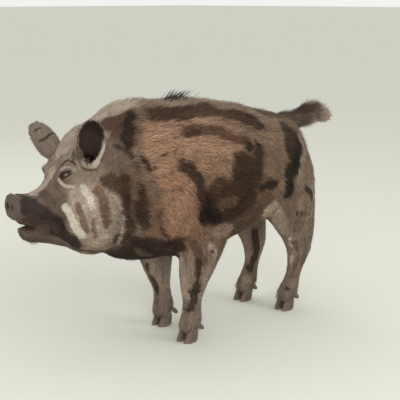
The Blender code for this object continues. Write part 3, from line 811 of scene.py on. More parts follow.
def joined(name, pieces):
    # one mesh from pieces, each its points and one or more arrays of faces
    points, corners, sizes, count = [], [], [], 0
    for places, *faceArrays in pieces:
        points.append(places)
        for faces in faceArrays:
            corners.append((faces + count).ravel())
            sizes.append(np.full(len(faces), faces.shape[1]))
        count += len(places)
    return newMesh(name, np.concatenate(points), np.concatenate(corners), np.concatenate(sizes))


def joinedHide(mesh):
    # the hide, eyelids and ears as one mesh; each point keeps the number of its part
    openedEars(mesh)
    points, normals, triangles = meshArrays(mesh)
    pieces, parts = [(points, triangles)], [np.zeros(len(points))]
    for side in sideSign:
        pieces.append(outwardGrid(eyelids[side], np.broadcast_to(eyeFrames[side][0], eyelids[side].shape)))
        parts.append(np.full(len(pieces[-1][0]), 1))
    for side in sideSign:
        grid, inside = earShell(side, modelledTree)
        hint = (grid - grid.mean(1, keepdims=True)) * np.where(inside > 0, 1, -1)[..., None]
        flat, corners = outwardGrid(grid, hint)
        # a small fan closes the tip
        rim = np.arange(len(flat) - grid.shape[1], len(flat))
        fan = np.stack([rim, np.roll(rim, -1), np.full(len(rim), len(flat))], 1)
        if corners[0, 0] > corners[0, 3]:
            fan = fan[:, ::-1]
        pieces.append((np.vstack([flat, grid[-1].mean(0)]), corners, fan))
        parts.append(np.where(np.append(inside, 1) < -0.15, 3, 2))
    return joined("hide", pieces), np.concatenate(parts)


hideMesh, hideParts = joinedHide(hideMesh)
print("hide joined:", sum(len(face.vertices) - 2 for face in hideMesh.polygons), "triangles")


# markings, with painted shade and highlights among them: strokes of colour, each (colour, half width,
# strength, path) in millimetres; wide ones come first
# in the head's frame, on both sides
headMarks = {
    # pale hair on the cheek, made paler still as a painted highlight
    "cheek pale and highlight": ((170, 153, 136), 42, 0.8, ((80, 108, 28), (74, 130, -12), (56, 132, -72))),
    "forehead": ((172, 156, 142), 26, 0.8, ((96, 12, 156), (56, 8, 208), (-14, 4, 240), (-84, 24, 272))),
    "snout side": ((40, 33, 29), 30, 0.92, ((214, 44, 12), (184, 52, -18), (146, 60, -50))),
    "crown": ((174, 160, 144), 24, 0.7, ((-72, 2, 268), (-134, 12, 278))),
    "snout top": ((48, 40, 36), 11, 0.85, ((226, 0, 48), (216, 26, 42), (196, 42, 24))),
    "temple": ((150, 130, 113), 20, 0.7, ((58, 84, 160), (48, 94, 88))),
    "mouth corner dark": ((46, 37, 32), 24, 0.9, ((142, 56, -48), (124, 76, -76), (106, 92, -94))),
    "lip dark": ((66, 54, 46), 18, 0.9, ((214, 40, -30), (180, 50, -44), (150, 62, -56))),
    "bridge": ((168, 151, 136), 17, 0.85, ((184, 8, 44), (142, 0, 70), (122, 2, 100))),
    "back of cheek": ((78, 54, 40), 22, 0.9, ((4, 118, 76), (-32, 132, 48))),
    "cheek band": ((108, 78, 59), 15, 0.85, ((34, 108, 50), (26, 128, 12), (20, 136, -42))),
    "under eye dark": ((70, 56, 47), 14, 0.7, ((164, 30, 44), (152, 56, 16))),
    "chin": ((92, 78, 69), 13, 0.85, ((216, 18, -80), (186, 32, -88), (158, 40, -86))),
    "jowl rim": ((182, 166, 149), 6, 0.7, ((-12, 128, 32), (-28, 132, -16), (-36, 120, -64),
        (-32, 92, -116))),
    "lower lip": ((76, 63, 54), 14, 0.9, ((224, 24, -44), (194, 36, -56), (168, 42, -64))),
    "pouch": ((110, 89, 74), 8, 0.6, ((112, 64, 80), (98, 72, 74))),
    "cheek brown": ((112, 90, 73), 9, 0.85, ((96, 104, 14), (92, 120, -20), (82, 126, -56))),
    "jaw line": ((62, 50, 42), 8, 0.7, ((118, 28, -112), (88, 80, -118), (40, 100, -128), (-60, 52, -156))),
    "cheek white fore": ((212, 202, 188), 12, 0.78, ((122, 80, 8), (114, 104, -32), (92, 118, -70))),
    "eye fold": ((96, 75, 60), 6, 0.8, ((128, 42, 68), (124, 68, 42), (104, 90, 32), (88, 96, 60))),
    "cheek white back": ((212, 202, 188), 9, 0.78, ((70, 92, 56), (64, 110, 34), (62, 124, 8))),
    "cheek band low": ((118, 92, 74), 7, 0.75, ((64, 130, -30), (58, 132, -76))),
    "pouch rim": ((182, 168, 152), 4.5, 0.8, ((122, 52, 82), (112, 64, 64), (92, 78, 60))),
    "brow arc": ((72, 56, 46), 4, 0.8, ((114, 44, 118), (96, 52, 132), (80, 68, 124))),
    "brow arc high": ((96, 77, 64), 4, 0.6, ((106, 16, 134), (90, 40, 148), (86, 96, 142))),
    "upper lid": ((182, 168, 152), 4, 0.7, ((124, 52, 106), (104, 62, 118), (82, 74, 108))),
}
# in the model's frame, on both sides
sideMarks = {
    # tan hair, made paler on the upper shoulder and ribs as a painted highlight
    "shoulder tan and highlight": ((168, 133, 108), 45, 0.85, ((-295, -120, 680), (-325, -140, 625), (-295, -165, 575))),
    "rib tan and highlight": ((164, 131, 106), 52.5, 0.85, ((-245, -150, 640), (-220, -175, 605), (-130, -210, 585),
        (-45, -195, 590))),
    "low shoulder tan and highlight": ((165, 128, 103), 52.5, 0.85, ((-285, -175, 535), (-275, -175, 460),
        (-260, -160, 385))),
    "flank dark": ((62, 44, 31), 52.5, 0.95, ((-30, -210, 545), (-55, -215, 480), (-130, -210, 435))),
    "neck lower": ((86, 64, 50), 37.5, 0.8, ((-425, -130, 575), (-415, -140, 515), (-395, -145, 450))),
    "neck patch": ((82, 59, 46), 36, 0.9, ((-420, -55, 705), (-390, -75, 700), (-410, -100, 660))),
    "rump dark": ((60, 47, 38), 46, 0.92, ((270, -135, 610), (250, -165, 565))),
    "flank dark low": ((58, 41, 30), 37, 0.95, ((-5, -215, 440), (-80, -205, 410), (-160, -200, 405))),
    "neck grey": ((112, 94, 81), 37, 0.8, ((-455, -95, 630), (-445, -115, 595))),
    "thigh light": ((176, 157, 139), 40, 0.9, ((140, -170, 385), (255, -125, 295))),
    "thigh dark": ((120, 99, 84), 30, 0.65, ((255, -165, 400), (270, -165, 345), (295, -160, 300))),
    # painted shade under the chest
    "chest under shade": ((48, 37, 31), 37, 0.85, ((-380, -95, 335), (-280, -80, 290), (-200, -60, 275))),
    "flank dark front": ((70, 50, 36), 27.5, 0.9, ((-135, -215, 505), (-165, -210, 465))),
    "rump light": ((136, 113, 94), 27.5, 0.85, ((130, -180, 595), (105, -205, 535), (110, -210, 480))),
    "back ridge": ((150, 134, 119), 27.5, 0.8, ((-300, 0, 745), (-120, 0, 750), (60, 0, 740),
        (200, 0, 705))),
    # painted shade in the armpit, between the foreleg and the body
    "armpit shade": ((40, 30, 25), 22.5, 0.85, ((-255, -130, 335), (-215, -110, 310))),
    "upper back dark": ((74, 53, 41), 30, 0.92, ((-290, -85, 720), (-230, -90, 715), (-150, -95, 715),
        (-60, -100, 710), (35, -115, 690), (105, -135, 665))),
    # painted shade low on the chest
    "brisket shade": ((52, 39, 31), 24, 0.85, ((-440, -105, 380), (-380, -110, 350), (-335, -120, 345),
        (-275, -120, 330))),
    "flank black": ((36, 26, 19), 22.5, 0.95, ((-185, -200, 450), (-180, -190, 415), (-145, -200, 400))),
    "flank column": ((60, 43, 31), 22.5, 0.9, ((55, -195, 585), (35, -210, 535), (15, -215, 495))),
    "knob two": ((38, 28, 22), 22.5, 0.95, ((70, -185, 605),)),
    "elbow lozenge": ((170, 138, 117), 22.5, 0.6, ((-270, -175, 460), (-270, -165, 405))),
    "rump black": ((38, 31, 27), 34, 0.95, ((280, -170, 510), (215, -190, 490), (230, -175, 435))),
    "belly pale": ((170, 144, 127), 22.5, 0.5, ((-115, -190, 360), (-55, -175, 350))),
    "arched dark stripe": ((84, 60, 45), 21, 0.85, ((-205, -145, 665), (-165, -150, 665), (-125, -170, 660),
        (-50, -175, 640), (15, -185, 615))),
    "sickle": ((60, 43, 32), 21, 0.9, ((-250, -175, 575), (-230, -185, 555), (-205, -195, 520),
        (-195, -200, 470))),
    "knob one": ((40, 29, 22), 19, 0.95, ((15, -190, 600),)),
    "neck block": ((44, 35, 30), 19, 0.9, ((-360, -70, 720), (-385, -95, 685), (-405, -110, 650))),
    "flank pale spot": ((110, 85, 67), 17.5, 0.7, ((-130, -215, 440), (-80, -215, 445))),
    "front column": ((58, 42, 32), 17.5, 0.85, ((-440, -130, 555), (-435, -135, 505), (-435, -130, 445),
        (-410, -120, 395))),
    "second column": ((64, 46, 35), 17.5, 0.85, ((-395, -145, 525), (-390, -145, 470), (-370, -140, 405))),
    "arched stripe end": ((66, 47, 36), 14.5, 0.6, ((-200, -150, 660), (-170, -155, 660))),
    "flank dash": ((38, 29, 24), 14.5, 0.95, ((45, -215, 470), (90, -210, 475), (140, -200, 470))),
    "third light": ((122, 98, 80), 14.5, 0.6, ((-360, -155, 535), (-360, -155, 485), (-340, -150, 415))),
    "chest edge light": ((120, 100, 84), 14.5, 0.6, ((-365, -90, 320), (-300, -80, 295))),
    "rump dark corner": ((44, 35, 30), 24, 0.92, ((330, -125, 595), (295, -155, 555), (260, -175, 530))),
    "rump pale low": ((165, 146, 128), 13, 0.8, ((305, -170, 505), (275, -175, 465))),
    "upper dark deep": ((56, 42, 33), 14, 0.8, ((-95, -70, 730), (-10, -70, 725), (75, -95, 695),
        (135, -135, 655))),
    "column light": ((128, 104, 86), 11, 0.7, ((-410, -135, 580), (-400, -140, 545), (-410, -140, 500))),
    "rump pale edge": ((172, 153, 136), 11, 0.85, ((335, -120, 600), (340, -145, 550), (305, -165, 520))),
    "thigh spot one": ((54, 42, 35), 11, 0.85, ((290, -170, 350), (335, -170, 350))),
    "thigh spot two": ((50, 40, 34), 11, 0.85, ((315, -170, 430), (360, -165, 390))),
    "thigh edge light": ((178, 161, 145), 11, 0.8, ((350, -165, 425), (390, -155, 380), (370, -160, 335))),
    "light arc": ((168, 140, 117), 9.5, 0.75, ((-290, -130, 660), (-250, -120, 685), (-185, -125, 690),
        (-120, -140, 685), (-30, -150, 665), (45, -170, 635), (80, -180, 605))),
    "shoulder v line": ((50, 36, 28), 9.5, 0.9, ((-380, -135, 605), (-365, -145, 575), (-350, -150, 570),
        (-325, -150, 595), (-300, -150, 615))),
    "elbow outline": ((66, 48, 37), 9.5, 0.85, ((-320, -165, 455), (-325, -155, 420), (-310, -145, 380),
        (-265, -140, 350), (-220, -140, 340))),
    "ridge dark strip": ((96, 78, 65), 9.5, 0.6, ((-220, 0, 750), (-120, -25, 745), (30, -25, 730))),
    "back light line": ((160, 140, 121), 8, 0.7, ((-280, -48, 740), (-172, -14, 746), (-64, -12, 740),
        (40, -36, 724), (152, -52, 700), (174, -116, 662))),
    "neck loop": ((50, 36, 28), 8, 0.8, ((-440, -102, 634), (-414, -116, 622), (-400, -132, 600))),
    "rib light": ((178, 148, 124), 8, 0.7, ((-172, -180, 628), (-184, -188, 592), (-196, -196, 548))),
    "rib light two": ((178, 148, 124), 8, 0.7, ((-148, -190, 624), (-150, -204, 584), (-148, -212, 552))),
    "rib light three": ((178, 148, 124), 8, 0.65, ((-196, -168, 630), (-228, -174, 596),
        (-244, -174, 578))),
    "rib light four": ((174, 144, 120), 8, 0.65, ((-116, -196, 620), (-92, -208, 586), (-68, -210, 560))),
    "blade line": ((92, 67, 52), 6.5, 0.8, ((-256, -156, 628), (-304, -162, 578), (-342, -160, 516))),
    "lozenge arc": ((104, 74, 58), 6.5, 0.6, ((-318, -168, 492), (-284, -174, 504), (-240, -188, 494))),
    "blade line two": ((104, 77, 60), 5.5, 0.7, ((-232, -160, 624), (-280, -170, 566), (-316, -168, 514))),
    "lozenge line": ((104, 74, 58), 5, 0.6, ((-298, -172, 476), (-300, -166, 432), (-280, -156, 388))),
}
# in the model's frame, on the side where they are given
legMarks = {
    "tuft pale": ((182, 160, 147), 31, 0.8, ((600, -15, 655), (660, -10, 635))),
    "tail side": ((88, 73, 62), 28, 0.92, ((210, -70, 680), (290, -55, 670), (415, -15, 650))),
    "fore left outer dark": ((100, 77, 62), 18, 0.8, ((-190, -155, 320), (-160, -160, 265))),
    "fore right light": ((170, 152, 137), 17, 0.75, ((-150, 75, 260), (-140, 70, 180), (-130, 70, 100))),
    "hind right lower": ((158, 140, 125), 17, 0.8, ((300, 75, 75), (285, 75, 35))),
    "tuft dark": ((104, 88, 77), 17, 0.7, ((535, -10, 650), (585, -10, 660))),
    "hind right light": ((154, 135, 120), 14.5, 0.8, ((295, 95, 235), (325, 95, 160))),
    "hind right column": ((60, 46, 39), 14.5, 0.9, ((330, 65, 245), (345, 65, 175), (325, 75, 115))),
    "tail dark": ((66, 53, 45), 17, 0.85, ((425, -5, 655), (495, 5, 660), (565, -10, 660))),
    "fore left light front": ((176, 157, 142), 13, 0.85, ((-195, -105, 265), (-185, -105, 205),
        (-170, -95, 145))),
    "hind left rear dark": ((116, 96, 82), 13.5, 0.75, ((345, -150, 245), (370, -130, 180),
        (350, -115, 120))),
    "fore left dark bar": ((64, 50, 42), 12, 0.9, ((-170, -155, 265), (-165, -145, 220), (-160, -125, 165),
        (-160, -110, 110))),
    "fore left rear light": ((160, 141, 126), 12, 0.8, ((-120, -165, 260), (-135, -145, 205),
        (-140, -125, 145))),
    "elbow pale": ((180, 161, 145), 12, 0.8, ((-135, -180, 315), (-115, -170, 280))),
    "fore right dark edge": ((54, 44, 38), 7.5, 0.85, ((-154, 92, 212), (-132, 84, 152), (-118, 88, 86))),
    "fore right centre": ((126, 108, 94), 9, 0.8, ((-95, 60, 125), (-100, 60, 70))),
    "hind left column": ((104, 86, 74), 9, 0.8, ((315, -130, 235), (345, -120, 175), (335, -105, 115))),
    "fore left bar high": ((50, 39, 33), 7.5, 0.85, ((-172, -118, 166), (-140, -132, 160))),
    "fore left bar low": ((48, 38, 32), 7.5, 0.85, ((-166, -88, 102), (-150, -116, 100))),
    "elbow dot": ((48, 37, 31), 7.5, 0.9, ((-130, -174, 298),)),
    "hind left white stripe": ((196, 180, 166), 7.5, 0.85, ((292, -122, 252), (332, -102, 180),
        (330, -88, 120))),
    "hind left spot": ((44, 36, 31), 7.5, 0.9, ((312, -100, 74),)),
}

# strokes on the right ear, by share of its length and angle round the cup as a share of the half angle
earMarks = {
    "tip stroke": ((44, 36, 31), 3.2, 0.85, ((0.84, -0.55), (0.85, -0.20), (0.84, 0.10))),
    "band": ((46, 37, 32), 4.2, 0.85, ((0.60, -0.60), (0.58, -0.20), (0.61, 0.30), (0.57, 0.85))),
}
# the ground colours under the strokes, in the model's frame, in millimetres
groundTones = {
    "muzzle": ((92, 77, 67), (-620, -20, 470)),
    # pale, partly a painted highlight on the cheek
    "cheek": ((165, 148, 131), (-500, -80, 470)),
    "forehead": ((165, 150, 134), (-450, 0, 700)),
    "neck side": ((120, 99, 83), (-400, -120, 550)),
    "neck top": ((124, 102, 86), (-330, -100, 680)),
    # pale tan, partly a painted highlight on the upper shoulder
    "shoulder": ((156, 124, 102), (-250, -150, 600)),
    "low shoulder": ((140, 108, 87), (-250, -160, 420)),
    "back": ((146, 129, 113), (-100, 0, 750)),
    "side high": ((148, 117, 95), (-100, -190, 600)),
    "side": ((104, 78, 60), (0, -210, 500)),
    "side low": ((92, 70, 55), (0, -180, 380)),
    "back rear": ((138, 118, 102), (150, 0, 720)),
    "hip": ((134, 110, 90), (150, -180, 550)),
    "rump": ((126, 106, 90), (300, -150, 580)),
    "thigh": ((140, 120, 104), (300, -150, 400)),
    "buttock": ((136, 117, 101), (420, -50, 500)),
    "groin": ((100, 82, 70), (250, -50, 330)),
    "belly": ((108, 90, 77), (0, 0, 270)),
    # dark as painted shade under the chest
    "brisket": ((60, 46, 37), (-350, 0, 330)),
    "foreleg": ((148, 129, 115), (-140, -90, 200)),
    "fore pastern": ((138, 120, 107), (-140, -90, 60)),
    "hind leg": ((148, 129, 115), (320, -100, 250)),
    "hind pastern": ((132, 114, 101), (320, -90, 60)),
    "tail": ((92, 77, 66), (480, 0, 640)),
    "tuft": ((172, 152, 139), (620, 0, 640)),
}
bareTones = {
    "snout disc": (84, 73, 65),
    # near black as painted shade inside the nostrils
    "nostril": (26, 20, 18),
    # near black as painted shade in the gap between the lips
    "mouth": (40, 27, 24),
    # dark lid margins, spread wider as painted shade round the eye
    "lid edge and socket shade": (34, 26, 23),
    # the two ears' backs differ as painted light: the right one lighter as if lit, the left one darker
    "left ear back with painted light": (118, 103, 90),
    "right ear back with painted light": (142, 128, 115),
    "ear tip": (38, 30, 26),
    # dark, partly the ear's own colour and partly painted shade in its cup
    "ear hollow with shade": (47, 37, 30),
    # near black as painted shade in the canal
    "shaded ear canal": (28, 21, 18),
    # pale hair and a painted highlight on the ear's rear edge
    "pale ear edge and highlight": (206, 194, 180),
}


# light and dark streaks in the coat: strength, width and the noise's seed
streaks = ((0.20, 0.010, 51), (0.18, 0.004, 61), (0.20, 0.028, 101))


def alongLie(points, lies, cell, seed):
    # noise drawn out along the lie of the hair, so that it streaks
    drawn = np.zeros(len(points))
    share = lies ** 2
    for axis in range(3):
        squeeze = np.ones(3)
        squeeze[axis] = 0.16
        drawn += share[:, axis] * grain(points * squeeze, cell, seed + axis)
    return drawn


def overlaid(colours, places, marks, ragged):
    # each stroke replaces what is under it, by its strength, out to an edge that the ragged noise breaks up
    for tone, halfWidth, strength, path in marks:
        reach = halfWidth / 1000
        away = pathDistance(places, lineThrough(path)) / reach
        away = away + ragged * np.minimum(0.35, 0.0035 / reach + 0.12)
        amount = strength * (1 - ease(0.80, 1.22, away))[:, None]
        colours = colours * (1 - amount) + linear(*tone) * amount
    return colours


def hideColour(points, lies, parts):
    # ground colours blended by distance, the strokes over them, then streaks, and the bare places last
    folded, headFolded = oneSided(points, -1), oneSided(toHead(points), 1)
    grounds = np.array([place for tone, place in groundTones.values()]) / 1000
    tones = np.array([linear(*tone) for tone, place in groundTones.values()])
    wander = drift(points, 0.045, 21) * 0.007 + drift(points, 0.014, 24) * 0.003
    share = 1 / (((folded + wander)[:, None] - grounds[None]) ** 2).sum(2) ** 2
    colours = (share / share.sum(1, keepdims=True)) @ tones
    ragged = alongLie(points, lies, 0.007, 31) + 0.5 * alongLie(points, lies, 0.0035, 41)
    colours = overlaid(colours, folded + wander, sideMarks.values(), ragged)
    colours = overlaid(colours, points + wander, legMarks.values(), ragged)
    onHead = headFolded[:, 0] > -0.15
    places = (headFolded + wander * 0.5)[onHead]
    colours[onHead] = overlaid(colours[onHead], places, headMarks.values(), ragged[onHead])
    streak = 1 + 0.08 * grain(points, 0.09, 71)
    for strength, cell, seed in streaks:
        streak += strength * alongLie(points, lies, cell, seed)
    return bareColour(colours * streak[:, None], points, headFolded, parts)


def mixed(colours, name, amount):
    return colours * (1 - amount[:, None]) + linear(*bareTones[name]) * amount[:, None]


def aroundEye(side, points):
    # distance from the eye's middle as a share of the opening between the lids, and how far out the point is
    outward, along, across = eyeFrames[side]
    offset = points - eyeMiddle[side]
    x, y = offset @ along, offset @ across
    rim = np.hypot(x / eyeValues["halfLength"], y / np.where(y > 0, eyeValues["up"], eyeValues["down"]))
    return rim, offset @ outward


def alongEar(side, points):
    # share of the ear's length, its two other axes' distances from the root, and whether it is on that side
    root, along, back, across = earFrame(side)
    offset = points - root
    near = toHead(points)[:, 1] * sideSign[side] > 0
    return offset @ along / earValues["length"], offset @ back, offset @ across, near


def bareColour(colours, points, headFolded, parts):
    forward, sideways, up = headFolded.T
    speckle = 0.8 + 0.2 * (0.5 + 0.5 * grain(points, 0.003, 81))
    colours = mixed(colours, "snout disc", ease(0.232, 0.239, forward) * (up > -0.045) * speckle)
    v = snoutValues
    hole = np.hypot((sideways - v["nostrilSide"]) / 0.0075, (up - v["nostrilUp"]) / 0.0105)
    # painted shade: the nostrils' holes are coloured near black
    colours = mixed(colours, "nostril", (1 - ease(0.7, 1.15, hole)) * (forward > 0.225))
    mouth = pathDistance(headFolded, mouthLine)
    # painted shade: the mouth's line is darkened where the lips part
    colours = mixed(colours, "mouth", 0.9 * (1 - ease(0.0022, 0.0060, mouth)) * (forward > 0.10))
    for side in sideSign:
        rim, out = aroundEye(side, points)
        # the lids' edges and the skin round the eye are darkened: dark lid margins and painted shade round
        # the eye
        colours = mixed(colours, "lid edge and socket shade", 0.88 * (1 - ease(1.55, 2.35, rim)) * (out > 0))
        share, behind, beside, near = alongEar(side, points)
        outer, inner = near & (parts == 2), near & (parts == 3)
        ear = outer | inner
        # each ear's back takes its own tone, lighter on the right and darker on the left as painted light
        colours = mixed(colours, f"{side} ear back with painted light", 0.75 * outer * ease(0.0, 0.25, share))
        # the inside of each ear is dark, partly its own colour and partly painted shade in the cup
        colours = mixed(colours, "ear hollow with shade", 0.95 * inner)
        # painted shade: the ear's canal and the foot of its hollow are coloured near black
        pit = (1 - ease(1.05, 1.25, inEar(side, points)[0])) * (parts == 0)
        colours = mixed(colours, "shaded ear canal", 0.9 * np.maximum(inner * (1 - ease(0.08, 0.32, share)), pit))
        # the pale rear edge of each ear is pale hair and a painted highlight
        rearward = -sideSign[side] * beside / (earWidth(share)[0] * earValues["halfWidth"])
        rim = ease(0.62, 0.96, rearward) * (1 - ease(0.58, 0.76, share))
        lip = outer * (1 - ease(0.06, 0.15, share)) * ease(0.012, 0.026, -behind)
        colours = mixed(colours, "pale ear edge and highlight", 0.85 * ear * np.maximum(rim, lip))
        if side == "left":
            colours = mixed(colours, "ear tip", 0.85 * ear * ease(0.66, 0.90, share))
        elif ear.any():
            strokes = [(tone, width, strength, earPoints(side, *np.array(path).T, 0) * 1000)
                       for tone, width, strength, path in earMarks.values()]
            colours[ear] = overlaid(colours[ear], points[ear], strokes, 0.5 * grain(points[ear], 0.005, 83))
    return colours


# materials: the colour comes with the mesh, and pores, creases and gloss from the nodes

# roughness, gloss, and the scale, low and high of the mottling
finishes = {
    "bristlySkin": (0.68, 0.22, 260, 0.86, 1.12),
    "bristles": (0.72, 0.16, 520, 0.88, 1.10),
    "clawHorn": (0.45, 0.45, 90, 0.75, 1.20),
}
# by distance from the middle of the pupil: pupil, iris, its outer edge, dark rim, and the white
eyeRings = ((0.22, (0.004, 0.003, 0.003)), (0.27, (0.050, 0.022, 0.010)), (0.44, (0.085, 0.038, 0.016)),
            (0.52, (0.020, 0.010, 0.007)), (0.58, (0.060, 0.040, 0.030)), (0.90, (0.20, 0.14, 0.11)))


def setInput(tree, node, key, value):
    # a number or colour is set, and another node's output is linked
    if isinstance(value, bpy.types.NodeSocket):
        tree.links.new(value, node.inputs[key])
    else:
        node.inputs[key].default_value = value


def addNode(tree, kind, inputs, **values):
    node = tree.nodes.new(kind)
    for key, value in values.items():
        setattr(node, key, value)
    for key, value in inputs.items():
        setInput(tree, node, key, value)
    return node


def ranged(tree, value, low, high, start=0.0, end=1.0):
    # the value's stretch from start to end, carried over to low to high
    inputs = {"Value": value, "From Min": start, "From Max": end, "To Min": low, "To Max": high}
    return addNode(tree, "ShaderNodeMapRange", inputs).outputs["Result"]


def bumped(tree, shader, height, strength, distance):
    bump = addNode(tree, "ShaderNodeBump", {"Height": height, "Strength": strength, "Distance": distance})
    setInput(tree, shader, "Normal", bump.outputs["Normal"])


def newMaterial(name, roughness, specular):
    material = bpy.data.materials.new(name)
    material.use_nodes = True
    shader = material.node_tree.nodes["Principled BSDF"]
    shader.inputs["Roughness"].default_value = roughness
    shader.inputs["Specular IOR Level"].default_value = specular
    return material, material.node_tree, shader


def paintedMaterial(name):
    # the mesh's own colours times a noise between low and high
    roughness, specular, scale, low, high = finishes[name]
    material, tree, shader = newMaterial(name, roughness, specular)
    where = addNode(tree, "ShaderNodeTexCoord", {}).outputs["Object"]
    colour = addNode(tree, "ShaderNodeAttribute", {}, attribute_name="coatColour").outputs["Color"]
    noise = addNode(tree, "ShaderNodeTexNoise",
                    {"Vector": where, "Scale": scale, "Detail": 4.0, "Roughness": 0.6})
    share = ranged(tree, noise.outputs["Fac"], low, high, 0.3, 0.7)
    shade = addNode(tree, "ShaderNodeVectorMath", {0: colour, "Scale": share}, operation="SCALE")
    setInput(tree, shader, "Base Color", shade.outputs["Vector"])
    return material, tree, shader, where, noise.outputs["Fac"]


def hideMaterial():
    # pores and creases, and a damper shine where the skin is bare
    material, tree, shader, where, noise = paintedMaterial("bristlySkin")
    wet = addNode(tree, "ShaderNodeAttribute", {}, attribute_name="bareness").outputs["Fac"]
    setInput(tree, shader, "Roughness", ranged(tree, wet, 0.72, 0.50))
    pores = addNode(tree, "ShaderNodeTexVoronoi", {"Vector": where, "Scale": 420.0}).outputs["Distance"]
    creases = addNode(tree, "ShaderNodeTexNoise",
                      {"Vector": where, "Scale": 120.0, "Detail": 6.0, "Roughness": 0.65}).outputs["Fac"]
    both = addNode(tree, "ShaderNodeMath", {0: pores, 1: 0.6, 2: creases}, operation="MULTIPLY_ADD")
    bumped(tree, shader, both.outputs["Value"], 0.35, 0.0012)
    return material


def hornMaterial():
    material, tree, shader, where, noise = paintedMaterial("clawHorn")
    bumped(tree, shader, noise, 0.4, 0.0008)
    setInput(tree, shader, "Roughness", ranged(tree, noise, 0.38, 0.60))
    return material


def eyeMaterial():
    # the rings follow the angle from the middle of the pupil, which a fine noise frays
    material, tree, shader = newMaterial("eyeBall", 0.08, 0.35)
    shader.inputs["Coat Weight"].default_value = 0.35
    shader.inputs["Coat Roughness"].default_value = 0.02
    where = addNode(tree, "ShaderNodeTexCoord", {}).outputs["Object"]
    angle = addNode(tree, "ShaderNodeAttribute", {}, attribute_name="fromPupil").outputs["Fac"]
    fleck = addNode(tree, "ShaderNodeTexNoise", {"Vector": where, "Scale": 900.0, "Detail": 3.0})
    moved = addNode(tree, "ShaderNodeMath", {0: fleck.outputs["Fac"], 1: 0.10, 2: angle},
                    operation="MULTIPLY_ADD")
    ramp = addNode(tree, "ShaderNodeValToRGB", {"Fac": moved.outputs["Value"]})
    stops = ramp.color_ramp.elements
    for index, (position, colour) in enumerate(eyeRings):
        stop = stops[index] if index < 2 else stops.new(position)
        stop.position, stop.color = position, (*colour, 1)
    setInput(tree, shader, "Base Color", ramp.outputs["Color"])
    return material


skinFinish, hornFinish, eyeFinish = hideMaterial(), hornMaterial(), eyeMaterial()
bristleFinish = paintedMaterial("bristles")[0]


# the finished hide: coloured as the coat over it, and darker where hair covers it, as painted shade under the
# coat

hidePoints, hideNormals, hideTriangles = meshArrays(hideMesh)
hideLies, hideMakes = coatAt(hidePoints)
hideColours = hideColour(hidePoints, hideLies, hideParts)


def eyeAway(points):
    return np.minimum(*(np.linalg.norm(points - eyeMiddle[side], axis=1) for side in sideSign))


def bareShare(points, parts):
    # 1 where no hair grows: the snout's disc, the lips' edges, the lids' edges and the ear's canal
    places = oneSided(toHead(points), 1)
    mouth = (1 - ease(0.004, 0.007, pathDistance(places, mouthLine))) * (places[:, 0] > 0.10)
    bare = np.maximum(ease(0.231, 0.238, places[:, 0]), mouth)
    for side in sideSign:
        rim, out = aroundEye(side, points)
        bare = np.maximum(bare, (1 - ease(1.35, 1.9, rim)) * (out > -0.004))
        share, behind, beside, near = alongEar(side, points)
        bare = np.maximum(bare, (inEar(side, points)[0] < 0.95) * (parts == 0))
        bare = np.maximum(bare, near * (parts == 3) * (0.10 + 0.90 * (1 - ease(0.06, 0.34, share))))
    return np.maximum(bare, points[:, 2] < 0.022)


hideBare = bareShare(hidePoints, hideParts)
# where hair grows the hide's colour is taken down to 0.82 as painted shade under the coat; bare places keep
# their full colour
setColour(hideMesh, hideColours * (0.82 + 0.18 * hideBare)[:, None])
setNumber(hideMesh, "bareness", hideBare)
addPiece("hide", hideMesh, skinFinish, "bristly_hide", *fleshNodes)
print("hide coloured")


# an unwrap of the hide's own shape, on a thinner copy, which gives every tuft its place on the coat's map

def hideUnwrap():
    # the thinner copy's points and triangles, and the places of each triangle's corners on the map
    low = modified(hideMesh.copy(), "DECIMATE", ratio=hideValues["unwrapShare"])
    holder = newObject("unwrap", low)
    bpy.context.view_layer.objects.active = holder
    holder.select_set(True)
    bpy.ops.object.mode_set(mode="EDIT")
    bpy.ops.mesh.select_all(action="SELECT")
    bpy.ops.uv.smart_project(angle_limit=math.radians(66), island_margin=0.004)
    bpy.ops.object.mode_set(mode="OBJECT")
    points, normals, triangles = meshArrays(low)
    loops = gathered(low.loop_triangles, "loops", 3, np.int32)
    corners = gathered(low.uv_layers.active.data, "uv", 2)[loops]
    bpy.data.objects.remove(holder)
    return points, triangles, corners


unwrapPoints, unwrapTriangles, unwrapCorners = hideUnwrap()
unwrapTree, hideTree = searchTree(unwrapPoints, unwrapTriangles), searchTree(hidePoints, hideTriangles)
print("hide unwrapped:", len(unwrapTriangles), "triangles")


def placeOnUnwrap(places):
    # the nearest triangle of the thinner copy, and the place's shares of its three corners
    found = [unwrapTree.find_nearest(Vector(place)) for place in places]
    index = np.array([hit[2] for hit in found])
    at = np.array([hit[0][:] for hit in found])
    a, b, c = (unwrapPoints[unwrapTriangles[index, k]] for k in range(3))
    one, two, toPlace = b - a, c - a, at - a
    d00, d01, d11 = (one * one).sum(1), (one * two).sum(1), (two * two).sum(1)
    d20, d21 = (toPlace * one).sum(1), (toPlace * two).sum(1)
    scale = np.maximum(d00 * d11 - d01 * d01, 1e-18)
    second = np.clip((d11 * d20 - d01 * d21) / scale, 0, 1)
    third = np.clip((d00 * d21 - d01 * d20) / scale, 0, 1 - second)
    shares = np.stack([1 - second - third, second, third], 1)
    return (unwrapCorners[index] * shares[..., None]).sum(1)


# tufts: flat tapered spikes with a three-cornered root and waist and a pointed tip

tuftFaces = np.array([0, 1, 2, 0, 3, 4, 1, 1, 4, 5, 2, 2, 5, 3, 0, 3, 6, 4, 4, 6, 5, 5, 6, 3])
tuftSizes = np.array([3, 4, 4, 4, 3, 3, 3])
tuftAcross = np.array([0, 1, 0.5, 0, 1, 0.5, 0.5])
tuftAlong = np.array([0, 0, 0, 0.45, 0.45, 0.45, 1])
